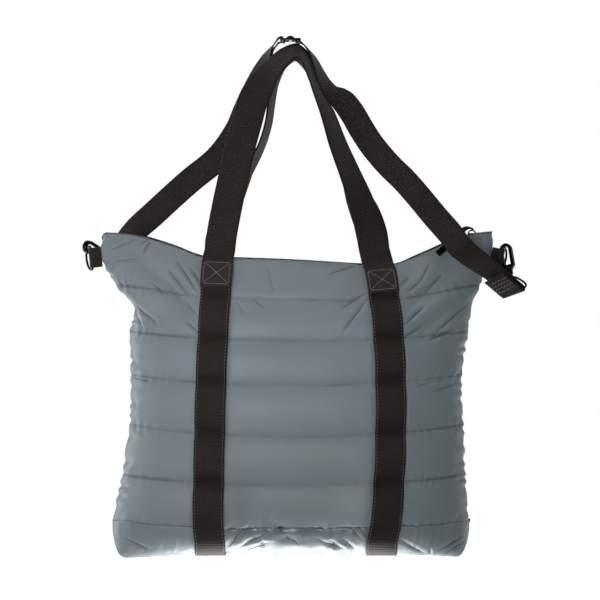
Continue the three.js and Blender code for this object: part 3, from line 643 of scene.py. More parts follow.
def make_base(name, materials, sizes):
    """The cloth that rolls under the bag between the two walls."""
    seam_tuck, crush_depth, thinner_at_rim = 0.6, 2.6, 0.6
    darkest_painted_seam, seam_line = 0.3, 0.03
    places = column_places(BASE_LEVEL, WALL_COLUMNS)
    depths = [math.sin(math.radians(-90 + 180 * r / BASE_ROWS)) for r in range(BASE_ROWS + 1)]

    def place(column, row):
        point = base_point(places[column], depths[row])
        point.z += seam_wave(point.x) * abs(depths[row]) ** 6
        if row in (0, BASE_ROWS):
            tuck = seam_tuck * near_middle(point.x)
            point.y -= math.copysign(min(tuck, abs(point.y) / 2), point.y)
            point.z += tuck
        return point * MM

    span, length = LEFT(BASE_LEVEL) + RIGHT(BASE_LEVEL), 2 * (DEPTH(BASE_LEVEL) + BASE_ROUND)
    bm = grid_mesh(
        WALL_COLUMNS,
        BASE_ROWS,
        lambda column, row: place(column, BASE_ROWS - row),
        lambda column, row: (column / WALL_COLUMNS * span * MM, row / BASE_ROWS * length * MM),
    )
    spots = [(x, depth) for depth in reversed(depths) for x in places]
    for vert, (x, depth) in zip(list(bm.verts), spots):
        if under_webbing(x, BASE_Z, 1):
            vert.co -= vert.normal * sizes.pressed
    base = make_piece(bm, name, materials)
    columns = WALL_COLUMNS + 1
    edge = [i % columns in (0, WALL_COLUMNS) or abs(d) > 0.999 for i, (x, d) in enumerate(spots)]
    pins = [float(e or under_webbing(x, BASE_Z, 2)) for e, (x, d) in zip(edge, spots)]
    settle(base, pins, [1.0] * len(spots), sizes)
    across, depth = [s[0] for s in spots], [s[1] for s in spots]
    across, depth, rim = refine(base, {"across": across, "depth": depth, "rim": [float(e) for e in edge]})
    sunk = []
    for vert, x, d in zip(base.data.vertices, across, depth):
        crushed = crush_depth * near_middle(x) * sharp_crumples(x, -abs(d) * DEPTH(BASE_LEVEL))
        folds = valley(x, vert.co.z / MM, CREASES) - crushed
        sunk.append(0 if under_webbing(x, BASE_Z, 0.5) else folds * MM)
    press_along_normals(base, sunk)
    mark_creases(base, across)
    # Painted shade along the base seam, strongest between the handles
    shade = []
    for x, d in zip(across, depth):
        shade.append(darkest_painted_seam * near_middle(x) * math.exp(-(((1 - abs(d)) / seam_line) ** 2)))
    mark(base, "seam_shade", shade)
    mark(base, "crumpled", [0 if under_webbing(x, BASE_Z, 0) else near_middle(x) for x in across])
    line_cloth(base, [WALL_AT_STITCH * MM * (1 - thinner_at_rim * e) for e in rim])
    return base


# Flat strips


class Strip:
    """A flat strip of the frame, such as webbing: its rows in order, joined by a smooth curve."""

    def __init__(self, node, width, thick, outward, step=2.5 * MM):
        self.width, self.thick = width, thick
        rows = self.read_rows(node)
        facing = sum(normal.dot(outward) for at, across, normal in rows)
        if facing < 0:
            rows = [(at, -across, -normal) for at, across, normal in rows]
        self.rows = self.smooth_rows(rows, step)
        self.lengths = [0.0]
        for before, after in zip(self.rows, self.rows[1:]):
            self.lengths.append(self.lengths[-1] + (after[0] - before[0]).length)
        self.length = self.lengths[-1]

    def read_rows(self, node):
        """Middle, direction across and normal of each row of corners."""
        bm = merged_copy(node)
        rows, row_of = self.find_rows(bm)
        if len(rows) * 4 != len(bm.verts):
            raise RuntimeError(f"{node} is not a strip of rows of four corners")
        found = []
        for i in self.order_rows(bm, rows, row_of):
            a, b, c, d = (corner.co for corner in rows[i])
            middle = (a + b + c + d) / 4
            across = (a + d - b - c).normalized()
            normal = (a + b - c - d).normalized()
            if found and across.dot(found[-1][1]) < 0:
                across.negate()
            if found and normal.dot(found[-1][2]) < 0:
                normal.negate()
            found.append((middle, across, normal))
        bm.free()
        return found

    def find_rows(self, bm):
        """The four corners of each row, and the row that each corner is in."""
        close = 4e-6
        partner = {}
        for edge in bm.edges:
            if abs(edge.calc_length() - self.thick) < close:
                a, b = edge.verts
                partner[a], partner[b] = b, a
        rows, row_of = [], {}
        for edge in bm.edges:
            a, b = edge.verts
            if abs(edge.calc_length() - self.width) > close or a not in partner or b not in partner:
                continue
            corners = (a, b, partner[b], partner[a])
            if abs((corners[3].co - corners[2].co).length - self.width) > close:
                continue
            if any(corner in row_of for corner in corners):
                continue
            for corner in corners:
                row_of[corner] = len(rows)
            rows.append(corners)
        return rows, row_of

    @staticmethod
    def order_rows(bm, rows, row_of):
        """The rows' numbers from the end that is further to the right."""
        beside = [set() for row in rows]
        for edge in bm.edges:
            i, j = (row_of[v] for v in edge.verts)
            if i != j:
                beside[i].add(j)
                beside[j].add(i)
        ends = [i for i, near in enumerate(beside) if len(near) == 1]
        here = max(ends, key=lambda i: rows[i][0].co.x)
        order, seen = [], set()
        while here is not None:
            order.append(here)
            seen.add(here)
            here = next((i for i in beside[here] if i not in seen), None)
        return order

    @staticmethod
    def smooth_rows(rows, step):
        """More rows, about step metres apart, on a curve through the given ones."""
        smooth = []
        last = len(rows) - 1

        def reach(i):
            before, after = rows[max(i - 1, 0)][0], rows[min(i + 1, last)][0]
            span = (rows[i][0] - before).length + (after - rows[i][0]).length
            return (after - before) / span

        for i in range(last):
            start, end = rows[i][0], rows[i + 1][0]
            span = (end - start).length
            count = max(2, round(span / step) + 1)
            curve = geometry.interpolate_bezier(
                start, start + reach(i) * span / 3, end - reach(i + 1) * span / 3, end, count
            )
            for k, point in enumerate(curve[: None if i == last - 1 else -1]):
                t = k / (count - 1)
                across = rows[i][1].lerp(rows[i + 1][1], t).normalized()
                normal = rows[i][2].lerp(rows[i + 1][2], t)
                normal = (normal - across * normal.dot(across)).normalized()
                smooth.append((point, across, normal))
        return smooth

    def spot(self, along, aside, lift):
        """Point and normal at a length along the strip, to one side of its middle, above its middle."""
        along = min(max(along, 0), self.length)
        i = min(bisect_right(self.lengths, along) - 1, len(self.rows) - 2)
        t = (along - self.lengths[i]) / (self.lengths[i + 1] - self.lengths[i])
        at, across, normal = (a.lerp(b, t) for a, b in zip(self.rows[i], self.rows[i + 1]))
        return at + across * aside + normal * lift, normal.normalized()

    def section(self, crown):
        """Outline across the strip: flat faces with rounded edges, raised by crown in the middle."""
        half, up, flats, turns = self.width / 2 - self.thick / 2, self.thick / 2, 12, 4
        outline = []
        for side in (1, -1):
            for k in range(flats + 1):
                share = 1 - 2 * k / flats
                lift = up + crown * (1 - share**4) * (side > 0)
                outline.append((side * share * half, side * lift))
            for k in range(1, turns):
                angle = math.pi * k / turns
                outline.append((-side * (half + up * math.sin(angle)), side * up * math.cos(angle)))
        return outline

    def mesh(self, crown=0.0):
        """A closed mesh of the strip, with a UV map in metres across and along it."""
        outline = self.section(crown)
        around, last = len(outline), len(self.rows) - 1

        def place(column, row):
            aside, lift = outline[column % around]
            at, across, normal = self.rows[row]
            return at + across * aside + normal * lift

        bm = grid_mesh(
            around, last, place, lambda column, row: (outline[column % around][0], self.lengths[row])
        )
        bmesh.ops.remove_doubles(bm, verts=bm.verts, dist=SAME_PLACE)
        bmesh.ops.holes_fill(bm, edges=[e for e in bm.edges if e.is_boundary])
        bmesh.ops.recalc_face_normals(bm, faces=bm.faces)
        return bm


# Stitches


def add_stitch(bm, start, end, normal, radius):
    """One stitch: a short bulge of thread from start to end."""
    along = end - start
    length = along.length
    along.normalize()
    side = normal.cross(along).normalized()
    turn = Matrix((along, side, along.cross(side))).transposed().to_4x4()
    size = Matrix.Diagonal((length / 2, radius, radius, 1))
    place = Matrix.Translation((start + end) / 2)
    bmesh.ops.create_uvsphere(bm, u_segments=6, v_segments=4, radius=1, matrix=place @ turn @ size)


def gather(whole, part):
    """Moves a bmesh into a larger one. Many small meshes are made faster than one large one."""
    mesh = bpy.data.meshes.new("part")
    part.to_mesh(mesh)
    part.free()
    whole.from_mesh(mesh)
    bpy.data.meshes.remove(mesh)


def stitch_along(whole, spots, sizes, gap, radius):
    """Stitches along a line of points with normals."""
    pitch = sizes.stitch + gap
    lengths = [0.0]
    for (before, n), (after, m) in zip(spots, spots[1:]):
        lengths.append(lengths[-1] + (after - before).length)

    def at(along):
        i = min(bisect_right(lengths, along) - 1, len(spots) - 2)
        t = (along - lengths[i]) / max(lengths[i + 1] - lengths[i], 1e-9)
        return spots[i][0].lerp(spots[i + 1][0], t), spots[i][1]

    count = max(1, int(lengths[-1] / pitch))
    spare = (lengths[-1] - count * pitch + gap) / 2
    bm = bmesh.new()
    for k in range(count):
        start, normal = at(spare + k * pitch)
        end, normal = at(spare + k * pitch + sizes.stitch)
        add_stitch(bm, start, end, normal, radius)
    gather(whole, bm)


def strip_line(strip, start, end, steps, lift):
    """Points along a line on a strip, from (along, aside) to (along, aside)."""
    spots = []
    for k in range(steps + 1):
        along, aside = (a + (b - a) * k / steps for a, b in zip(start, end))
        spots.append(strip.spot(along, aside, lift))
    return spots


# Materials

PLATED_METAL = "black_plated_zinc"


def fill_sockets(tree, node, sockets):
    """Sets sockets of a node. A value is a number, a colour or another node's output."""
    for name, value in sockets.items():
        if isinstance(value, bpy.types.NodeSocket):
            tree.links.new(value, node.inputs[name])
        else:
            node.inputs[name].default_value = value


def add_node(tree, kind, sockets, out=0, **settings):
    """Adds a shader node with its settings and links, and gives one of its outputs."""
    node = tree.nodes.new("ShaderNode" + kind)
    for name, value in settings.items():
        setattr(node, name, value)
    fill_sockets(tree, node, sockets)
    return node.outputs[out]


def new_material(name, **sockets):
    """A material, its node tree and its shader. Constant values are set on the shader's own sockets."""
    material = bpy.data.materials.new(name)
    material.use_nodes = True
    tree = material.node_tree
    shader = tree.nodes["Principled BSDF"]
    fill_sockets(tree, shader, {socket.replace("_", " "): value for socket, value in sockets.items()})
    return material, tree, shader


def finish_surface(tree, shader, colour, value, roughness=None, height=None, strength=0.5):
    """Gives the shader a colour of varied value and, where given, a roughness and a height in metres."""
    sockets = {"Base Color": add_node(tree, "HueSaturation", {"Value": value, "Color": colour})}
    if roughness is not None:
        sockets["Roughness"] = roughness
    if height is not None:
        sockets["Normal"] = add_node(tree, "Bump", {"Height": height, "Distance": 1.0, "Strength": strength})
    fill_sockets(tree, shader, sockets)


def mottled(tree, place, size, low, high):
    """A value that wanders between low and high, in soft patches of about size metres."""
    patches = add_node(tree, "TexNoise", {"Vector": place, "Scale": 1 / size})
    return add_node(tree, "MapRange", {"Value": patches, "To Min": low, "To Max": high})


def crease_lines(tree):
    """Thin lines along the bottoms of the creases, 1 where a deep crease runs: painted shade and a sunk bump.
    """
    half_line = 0.8
    aside = add_node(tree, "Attribute", {}, "Fac", attribute_name="crease_aside")
    strength = add_node(tree, "Attribute", {}, "Fac", attribute_name="crease_strength")
    square = add_node(tree, "Math", {0: aside, 1: aside}, operation="MULTIPLY")
    fall = add_node(tree, "Math", {0: square, 1: -1 / half_line**2}, operation="MULTIPLY")
    core = add_node(tree, "Math", {0: fall}, operation="EXPONENT")
    return add_node(tree, "Math", {0: core, 1: strength}, operation="MULTIPLY")


def crumple_ridges(tree, place, strength):
    """Sharp slanting ridges where the cloth is crumpled."""
    ridge_size, slant, stretch = 24 * MM, math.radians(28), (1, 0.7, 0.45)
    slanted = add_node(tree, "Mapping", {"Vector": place, "Rotation": (0, slant, 0), "Scale": stretch})
    ridges = add_node(
        tree,
        "TexNoise",
        {"Vector": slanted, "Scale": 1 / ridge_size, "Detail": 1.5, "Roughness": 0.45},
        noise_type="RIDGED_MULTIFRACTAL",
    )
    return add_node(tree, "Math", {0: ridges, 1: strength}, operation="MULTIPLY")


def coated_nylon(colours):
    """Nylon taffeta with a matte rubbery coating.

    It gives the eye an even grey-blue, soft highlights, fine crinkles, and painted shade in seams and
    creases.
    """
    cloud_size, gloss_size, crinkle_size, grain_size = 70 * MM, 25 * MM, 14 * MM, 2.5 * MM
    material, tree, shader = new_material("coated_nylon", Sheen_Weight=0.08, Specular_IOR_Level=0.4)
    place = add_node(tree, "TexCoord", {}, "Object")
    lines = crease_lines(tree)
    seams = add_node(tree, "Attribute", {}, "Fac", attribute_name="seam_shade")
    crumples = add_node(tree, "Attribute", {}, "Fac", attribute_name="crumpled")

    value = mottled(tree, place, cloud_size, 0.93, 1.07)
    # Painted shade: the cloth is darker along the stitch lines and down the creases
    for dark, darkest in ((seams, 0.35), (lines, 0.25)):
        kept = add_node(tree, "MapRange", {"Value": dark, "To Min": 1.0, "To Max": darkest})
        value = add_node(tree, "Math", {0: value, 1: kept}, operation="MULTIPLY")

    rough = mottled(tree, place, gloss_size, 0.42, 0.55)
    rough = add_node(tree, "Math", {0: crumples, 1: -0.2, 2: rough}, operation="MULTIPLY_ADD")

    crinkle = add_node(tree, "TexNoise", {"Vector": place, "Scale": 1 / crinkle_size, "Detail": 3.0})
    grain = add_node(tree, "TexNoise", {"Vector": place, "Scale": 1 / grain_size})
    ridges = crumple_ridges(tree, place, crumples)
    height = 0.0
    for field, depth in ((crinkle, 0.9), (grain, 0.03), (lines, -1.6), (ridges, 2.4)):
        height = add_node(tree, "Math", {0: field, 1: depth * MM, 2: height}, operation="MULTIPLY_ADD")
    finish_surface(tree, shader, colours.shell, value, rough, height)
    return material


def lining_cloth(colours):
    """Plain polyester lining: smooth, slightly shiny and faintly crinkled."""
    cloud_size, crinkle_size, crinkle_depth = 30 * MM, 6 * MM, 0.4 * MM
    material, tree, shader = new_material("polyester_lining", Roughness=0.5)
    place = add_node(tree, "TexCoord", {}, "Object")
    value = mottled(tree, place, cloud_size, 0.9, 1.1)
    crinkle = add_node(tree, "TexNoise", {"Vector": place, "Scale": 1 / crinkle_size, "Detail": 3.0})
    height = add_node(tree, "Math", {0: crinkle, 1: crinkle_depth}, operation="MULTIPLY")
    finish_surface(tree, shader, colours.lining, value, height=height)
    return material


def ribbed_webbing(name, colour, width, rib=3.8 * MM, yarn=2.4 * MM, coordinates="UV"):
    """Woven webbing: ribs across it, flecked yarns along it, dark edges, and painted light and shade by the
    quilting.

    The weave is drawn coarser than the real one, so that it shows.
    """
    fleck_size, wear_size, weave_depth = 2.4 * MM, 40 * MM, 0.14 * MM
    edge_from, edge_to = width / 2 - 3 * MM, width / 2 - 1 * MM
    material, tree, shader = new_material(name, Specular_IOR_Level=0.18, Sheen_Weight=0.1)
    place = add_node(tree, "TexCoord", {}, coordinates)
    across = add_node(tree, "SeparateXYZ", {"Vector": place}, "X")
    along = add_node(tree, "SeparateXYZ", {"Vector": place}, "Y")

    waves = []
    for way, pitch in ((along, rib), (across, yarn)):
        turns = add_node(tree, "Math", {0: way, 1: 2 * math.pi / pitch}, operation="MULTIPLY")
        waves.append(add_node(tree, "Math", {0: turns}, operation="SINE"))
    ribs, yarns = waves
    weave = add_node(tree, "Math", {0: ribs, 1: yarns, 2: ribs}, operation="MULTIPLY_ADD")

    fleck = add_node(tree, "TexNoise", {"Vector": place, "Scale": 1 / fleck_size, "Detail": 1.0})
    speckle = add_node(
        tree, "MapRange", {"Value": fleck, "From Min": 0.3, "From Max": 0.7, "To Min": 0.3, "To Max": 1.8}
    )
    value = add_node(tree, "Math", {0: weave, 1: 0.22, 2: speckle}, operation="MULTIPLY_ADD")
    worn = mottled(tree, place, wear_size, 0.6, 1.4)
    aside = add_node(tree, "Math", {0: across}, operation="ABSOLUTE")
    edge = add_node(
        tree,
        "MapRange",
        {"Value": aside, "From Min": edge_from, "From Max": edge_to, "To Min": 1.0, "To Max": 0.45},
    )
    # Painted light and shade: darker where the quilted lines pull the webbing in, lighter between them and
    # wherever these numbers are missing
    seams = add_node(tree, "Attribute", {}, "Fac", attribute_name="seam_shade")
    painted_light_and_shade = add_node(tree, "MapRange", {"Value": seams, "To Min": 1.2, "To Max": 0.4})
    for shade in (worn, edge, painted_light_and_shade):
        value = add_node(tree, "Math", {0: value, 1: shade}, operation="MULTIPLY")

    rough = add_node(tree, "MapRange", {"Value": fleck, "To Min": 0.5, "To Max": 0.8})
    height = add_node(tree, "Math", {0: weave, 1: weave_depth}, operation="MULTIPLY")
    finish_surface(tree, shader, colour, value, rough, height, 0.8)
    return material


def grained_leather(colours):
    """Embossed coated leather: dark brown, satin, with a pebbled grain."""
    pebble_size, cloud_size, pebble_depth = 1.6 * MM, 9 * MM, 0.18 * MM
    material, tree, shader = new_material("grained_leather", Specular_IOR_Level=0.2)
    place = add_node(tree, "TexCoord", {}, "Object")
    value = mottled(tree, place, cloud_size, 0.75, 1.25)
    grain = add_node(tree, "TexVoronoi", {"Vector": place, "Scale": 1 / pebble_size}, feature="SMOOTH_F1")
    rough = add_node(tree, "MapRange", {"Value": grain, "To Min": 0.5, "To Max": 0.75})
    height = add_node(tree, "Math", {0: grain, 1: -pebble_depth}, operation="MULTIPLY")
    finish_surface(tree, shader, colours.patch, value, rough, height, 0.7)
    return material


def sewing_thread(name, colour):
    """Polyester thread: mottled by its twist, with a soft shine."""
    twist_size = 2 * MM
    material, tree, shader = new_material(name, Roughness=0.55, Sheen_Weight=0.2)
    place = add_node(tree, "TexCoord", {}, "Object")
    finish_surface(tree, shader, colour, mottled(tree, place, twist_size, 0.75, 1.25))
    return material


def plated_metal(colours):
    """Black plated die-cast zinc: dark, glossy, with fine scuffs that dull it in places."""
    scuff_size = 3 * MM
    material, tree, shader = new_material(PLATED_METAL, Metallic=1.0, Coat_Weight=0.12)
    place = add_node(tree, "TexCoord", {}, "Object")
    scuff = add_node(tree, "TexNoise", {"Vector": place, "Scale": 1 / scuff_size, "Detail": 4.0})
    value = add_node(tree, "MapRange", {"Value": scuff, "To Min": 0.6, "To Max": 1.6})
    rough = add_node(tree, "MapRange", {"Value": scuff, "To Min": 0.14, "To Max": 0.36})
    finish_surface(tree, shader, colours.metal, value, rough)
    return material


def shared_metal(colours):
    """The one metal of the zip and the hardware, made when it is first needed."""
    return bpy.data.materials.get(PLATED_METAL) or plated_metal(colours)


def studio_white(name, code, glow):
    """Matte white sweep that glows behind the bag, where it has to stay white, and is plain in front."""
    cloud_size, glow_from, glow_to = 0.4, 0.05, 1.2
    material, tree, shader = new_material(name, Roughness=0.9, Emission_Color=linear(code))
    place = add_node(tree, "TexCoord", {}, "Object")
    finish_surface(tree, shader, linear(code), mottled(tree, place, cloud_size, 0.99, 1.0))
    behind = add_node(tree, "SeparateXYZ", {"Vector": place}, "Y")
    reach = {"From Min": glow_from, "From Max": glow_to, "To Max": glow}
    fill_sockets(tree, shader, {"Emission Strength": add_node(tree, "MapRange", {"Value": behind, **reach})})
    return material


# Operators

FRONT, BACK = Vector((0, -1, 0)), Vector((0, 1, 0))
SIDES = ("left", "right")


class TOTE_OT_padded_cloth(Operator):
    """Make the quilted walls and the base, filled and wrinkled between their seams"""

    bl_idname = "tote.padded_cloth"
    bl_label = "Padded cloth"
    bl_options = {"REGISTER", "UNDO"}

    def execute(self, context):
        sizes, colours = context.scene.tote_sizes, context.scene.tote_colours
        materials = [coated_nylon(colours), lining_cloth(colours)]
        thread = sewing_thread("quilting_thread", colours.shell_thread)
        hem_thread = sewing_thread("hem_thread", colours.hem_thread)
        stitches, hem = bmesh.new(), bmesh.new()
        for name, node, face in (("front_wall", "front_panel", -1), ("back_wall", "back_panel", 1)):
            wall = make_wall(name, face, materials, sizes)
            hang_on(wall, "shell_cloth", node)
            self.quilt(stitches, hem, wall, sizes)
        base = make_base("base", materials, sizes)
        hang_on(base, "shell_cloth", "base_panel")
        hang_on(make_piece(stitches, "quilting", thread), "shell_cloth")
        hang_on(make_piece(hem, "hem_stitching", hem_thread), "shell_cloth")
        return {"FINISHED"}

    def quilt(self, stitches, hem, wall, sizes):
        """Stitches along each quilted line between the base seam and the rim, and along the hem."""
        last = len(STITCH_LEVELS) - 1
        for line in range(1, last):
            self.sew(stitches, wall, line * ROWS_PER_CHANNEL, 2, sizes)
        self.sew(hem, wall, last * ROWS_PER_CHANNEL - 1, 4, sizes)

    @staticmethod
    def sew(stitches, wall, row, spare, sizes):
        """Stitches along one row of the wall, which leaves out some columns at each end."""
        columns = WALL_COLUMNS + 1
        start = row * columns
        verts = [wall.data.vertices[i] for i in range(start + spare, start + columns - spare)]
        line = [(v.co + v.normal * sizes.thread * 0.5, v.normal) for v in verts]
        stitch_along(stitches, line, sizes, sizes.stitch_gap, sizes.thread)


class TOTE_OT_handles(Operator):
    """Make the two webbing handles with their edge stitching"""

    bl_idname = "tote.handles"
    bl_label = "Handles"
    bl_options = {"REGISTER", "UNDO"}

    SEWN_BELOW = -262 * MM
    STITCH_INSET = 2.2 * MM

    def execute(self, context):
        sizes, colours = context.scene.tote_sizes, context.scene.tote_colours
        webbing = ribbed_webbing("handle_webbing", colours.webbing, sizes.handle_width)
        thread = sewing_thread("webbing_thread", colours.webbing_thread)
        stitches = bmesh.new()
        for side, outward in (("front", FRONT), ("back", BACK)):
            node = f"handle_{side}"
            strip = Strip(node, sizes.handle_width, sizes.handle_thick, outward)
            handle = make_piece(strip.mesh(), f"{side}_handle", webbing)
            # Painted shade in the dips where the quilted lines pull the webbing in
            mark(handle, "seam_shade", [self.painted_dip_shade(v.co / MM) for v in handle.data.vertices])
            hang_on(handle, "webbing", node)
            self.sew(stitches, strip, sizes)
        hang_on(make_piece(stitches, "handle_stitching", thread), "webbing")
        return {"FINISHED"}

    @staticmethod
    def painted_dip_shade(at):
        """Painted shade: 1 where a quilted line pulls the sewn webbing into a dip, and 0 above the rim."""
        above_line, reach = 3, 9
        gap = min(abs(at.z - stitched_point(at.x, level).z - above_line) for level in STITCH_LEVELS[:-1])
        return math.exp(-((gap / reach) ** 2))

    def sew(self, stitches, strip, sizes):
        """Two lines of stitches along each sewn length, from the base to the rim."""
        sewn = [s for s, row in zip(strip.lengths, strip.rows) if row[0].z < self.SEWN_BELOW]
        middle = strip.length / 2
        first = [s for s in sewn if s < middle]
        second = [s for s in sewn if s > middle]
        for run in (first, second):
            for aside in (-1, 1):
                edge = aside * (strip.width / 2 - self.STITCH_INSET)
                line = [strip.spot(s, edge, strip.thick / 2) for s in run]
                stitch_along(stitches, line, sizes, sizes.stitch_gap, sizes.webbing_stitch)


class TOTE_OT_patches(Operator):
    """Make the leather patches with their boxed crosses"""

    bl_idname = "tote.patches"
    bl_label = "Patches"
    bl_options = {"REGISTER", "UNDO"}

    CROWN = 0.25 * MM
    STITCH_INSET = 3.4 * MM

    def execute(self, context):
        sizes, colours = context.scene.tote_sizes, context.scene.tote_colours
        leather = grained_leather(colours)
        thread = sewing_thread("patch_thread", colours.patch_thread)
        stitches = bmesh.new()
        for face, outward in (("front", FRONT), ("back", BACK)):
            for side in SIDES:
                node = f"patch_{face}_{side}"
                strip = Strip(node, sizes.patch_width, sizes.patch_thick, outward, 1.5 * MM)
                patch = make_piece(strip.mesh(self.CROWN), f"leather_{face}_{side}", leather)
                hang_on(patch, "patch_leather", node)
                self.box_cross(stitches, strip, sizes)
        hang_on(make_piece(stitches, "patch_stitching", thread), "patch_leather")
        return {"FINISHED"}

    def box_cross(self, stitches, strip, sizes):
        """A box of stitches inside the patch's edges, and a cross inside the box."""
        inset = self.STITCH_INSET
        wide, low, high = strip.width / 2 - inset, inset, strip.length - inset
        corners = [(low, -wide), (low, wide), (high, wide), (high, -wide)]
        lines = list(zip(corners, corners[1:] + corners[:1]))
        lines += [(corners[0], corners[2]), (corners[1], corners[3])]
        for start, end in lines:
            line = strip_line(strip, start, end, 12, strip.thick / 2 + self.CROWN)
            stitch_along(stitches, line, sizes, sizes.patch_gap, sizes.thread)


class TOTE_OT_shoulder_strap(Operator):
    """Make the shoulder strap with its sewn end"""

    bl_idname = "tote.shoulder_strap"
    bl_label = "Shoulder strap"
    bl_options = {"REGISTER", "UNDO"}

    ZIGZAG_ROWS = (7 * MM, 13 * MM, 19 * MM, 25 * MM)

    def execute(self, context):
        sizes, colours = context.scene.tote_sizes, context.scene.tote_colours
        webbing = ribbed_webbing("strap_webbing", colours.webbing, sizes.strap_width)
        thread = sewing_thread("strap_thread", colours.strap_thread)
        node = "shoulder_strap"
        strip = Strip(node, sizes.strap_width, sizes.strap_thick, FRONT, 2 * MM)
        hang_on(make_piece(strip.mesh(), "webbing_strap", webbing), "webbing", node)
        stitches = bmesh.new()
        for along in self.ZIGZAG_ROWS:
            self.zigzag(stitches, strip, along, sizes)
        hang_on(make_piece(stitches, "strap_stitching", thread), "webbing")
        return {"FINISHED"}

    @staticmethod
    def zigzag(stitches, strip, along, sizes):
        """One row of zigzag stitches across the strap."""
        wide, steps, swing, thread = strip.width / 2 - 2.5 * MM, 12, 2 * MM, 1.4 * sizes.thread
        spots = []
        for k in range(steps + 1):
            aside = wide * (2 * k / steps - 1)
            spots.append(strip.spot(along + swing * (-1) ** k, aside, -strip.thick / 2))
        row = bmesh.new()
        for (start, normal), (end, _) in zip(spots, spots[1:]):
            add_stitch(row, start, end, normal, thread)
        gather(stitches, row)


class TOTE_OT_zip(Operator):
    """Make the zip's tapes with their coils, and its puller"""

    bl_idname = "tote.zip"
    bl_label = "Zip"
    bl_options = {"REGISTER", "UNDO"}

    TAPE_RIB, TAPE_YARN = 1.6 * MM, 1.4 * MM
    PULLER_WIDTH, PULLER_THICK, PULLER_CROWN = 8 * MM, 2.2 * MM, 0.4 * MM

    def execute(self, context):
        sizes, colours = context.scene.tote_sizes, context.scene.tote_colours
        tape = ribbed_webbing(
            "zip_tape_cloth", colours.zip_tape, sizes.tape_width, self.TAPE_RIB, self.TAPE_YARN
        )
        nylon = sewing_thread("zip_coil_nylon", colours.zip_tape)
        teeth = bmesh.new()
        for side, inward in (("front", BACK), ("back", FRONT)):
            node = f"zip_tape_{side}"
            strip = Strip(node, sizes.tape_width, sizes.tape_thick, inward)
            strip.rows = [(at - Vector((0, 0, sizes.tape_sunk)), a, n) for at, a, n in strip.rows]
            hang_on(make_piece(strip.mesh(), f"tape_{side}", tape), "zip_cloth", node)
            self.coil(teeth, strip, sizes)
        hang_on(make_piece(teeth, "zip_coil", nylon), "zip_cloth")
        strip = Strip("zip_puller", self.PULLER_WIDTH, self.PULLER_THICK, FRONT, 1 * MM)
        puller = make_piece(strip.mesh(self.PULLER_CROWN), "puller", shared_metal(colours))
        hang_on(puller, "black_metal", "zip_puller")
        return {"FINISHED"}

    @staticmethod
    def coil(teeth, strip, sizes):
        """The coil's turns along the tape's upper edge."""
        inset, inner, outer, slant, radius = 1.6 * MM, 1.5 * MM, 2.0 * MM, 0.4 * MM, 0.7 * MM
        upper = 1 if strip.rows[0][1].z > 0 else -1
        edge = upper * (strip.width / 2 - inset)
        lift = strip.thick / 2 + 0.3 * MM
        row = bmesh.new()
        for k in range(int(strip.length / sizes.tooth_pitch)):
            along = (k + 0.5) * sizes.tooth_pitch
            start, normal = strip.spot(along - slant, edge - upper * inner, lift)
            end, normal = strip.spot(along + slant, edge + upper * outer, lift)
            add_stitch(row, start, end, normal, radius)
        gather(teeth, row)


class TOTE_OT_hardware(Operator):
    """Make the side tabs, rings, snap hooks, strap loops, slider and adjuster"""

    bl_idname = "tote.hardware"
    bl_label = "Hardware"
    bl_options = {"REGISTER", "UNDO"}

    # Wider than any tab, so that their weave has no dark edge
    NO_EDGE = 1.0

    def execute(self, context):
        sizes, colours = context.scene.tote_sizes, context.scene.tote_colours
        metal = shared_metal(colours)
        webbing = ribbed_webbing("tab_webbing", colours.webbing, self.NO_EDGE, coordinates="Object")
        for side in SIDES:
            for node, name in (("d_ring", "ring"), ("hook_loop", "loop")):
                wire = self.round_copy(f"{node}_{side}", f"{name}_{side}", metal)
                hang_on(wire, "black_metal", f"{node}_{side}")
            body = self.edged_copy(f"hook_body_{side}", f"snap_hook_{side}", metal, sizes.bevel)
            hang_on(body, "black_metal", f"hook_body_{side}")
            gate = self.edged_copy(f"hook_gate_{side}", f"gate_{side}", metal, sizes.bevel)
            hang_on(gate, "black_metal", f"hook_gate_{side}", body=f"gate_{side}")
            tab = self.edged_copy(f"side_tab_{side}", f"tab_{side}", webbing, sizes.bevel)
            hang_on(tab, "webbing", f"side_tab_{side}")
        for node, name in (("strap_adjuster", "adjuster"), ("zip_slider", "slider")):
            piece = self.edged_copy(node, name, metal, sizes.bevel)
            hang_on(piece, "black_metal", node)
        return {"FINISHED"}

    @staticmethod
    def round_copy(node, name, material):
        """A bent wire, smoothed."""
        widest = 1.2
        bm = merged_copy(node)
        bmesh.ops.join_triangles(
            bm, faces=bm.faces, angle_face_threshold=widest, angle_shape_threshold=widest
        )
        piece = make_piece(bm, name, material)
        subdivide(piece)
        return piece

    @staticmethod
    def edged_copy(node, name, material, bevel):
        """A solid with its sharp edges rounded."""
        flat, sharp, shaded_sharp = (math.radians(angle) for angle in (1, 50, 40))
        bm = merged_copy(node)
        bmesh.ops.dissolve_limit(bm, angle_limit=flat, verts=bm.verts, edges=bm.edges, delimit={"NORMAL"})
        bmesh.ops.bevel(
            bm,
            geom=[e for e in bm.edges if e.is_manifold and e.calc_face_angle() > sharp],
            offset=bevel,
            segments=2,
            profile=0.5,
            affect="EDGES",
            material=-1,
            clamp_overlap=True,
        )
        piece = make_piece(bm, name, material)
        piece.data.set_sharp_from_angle(angle=shaded_sharp)
        return piece


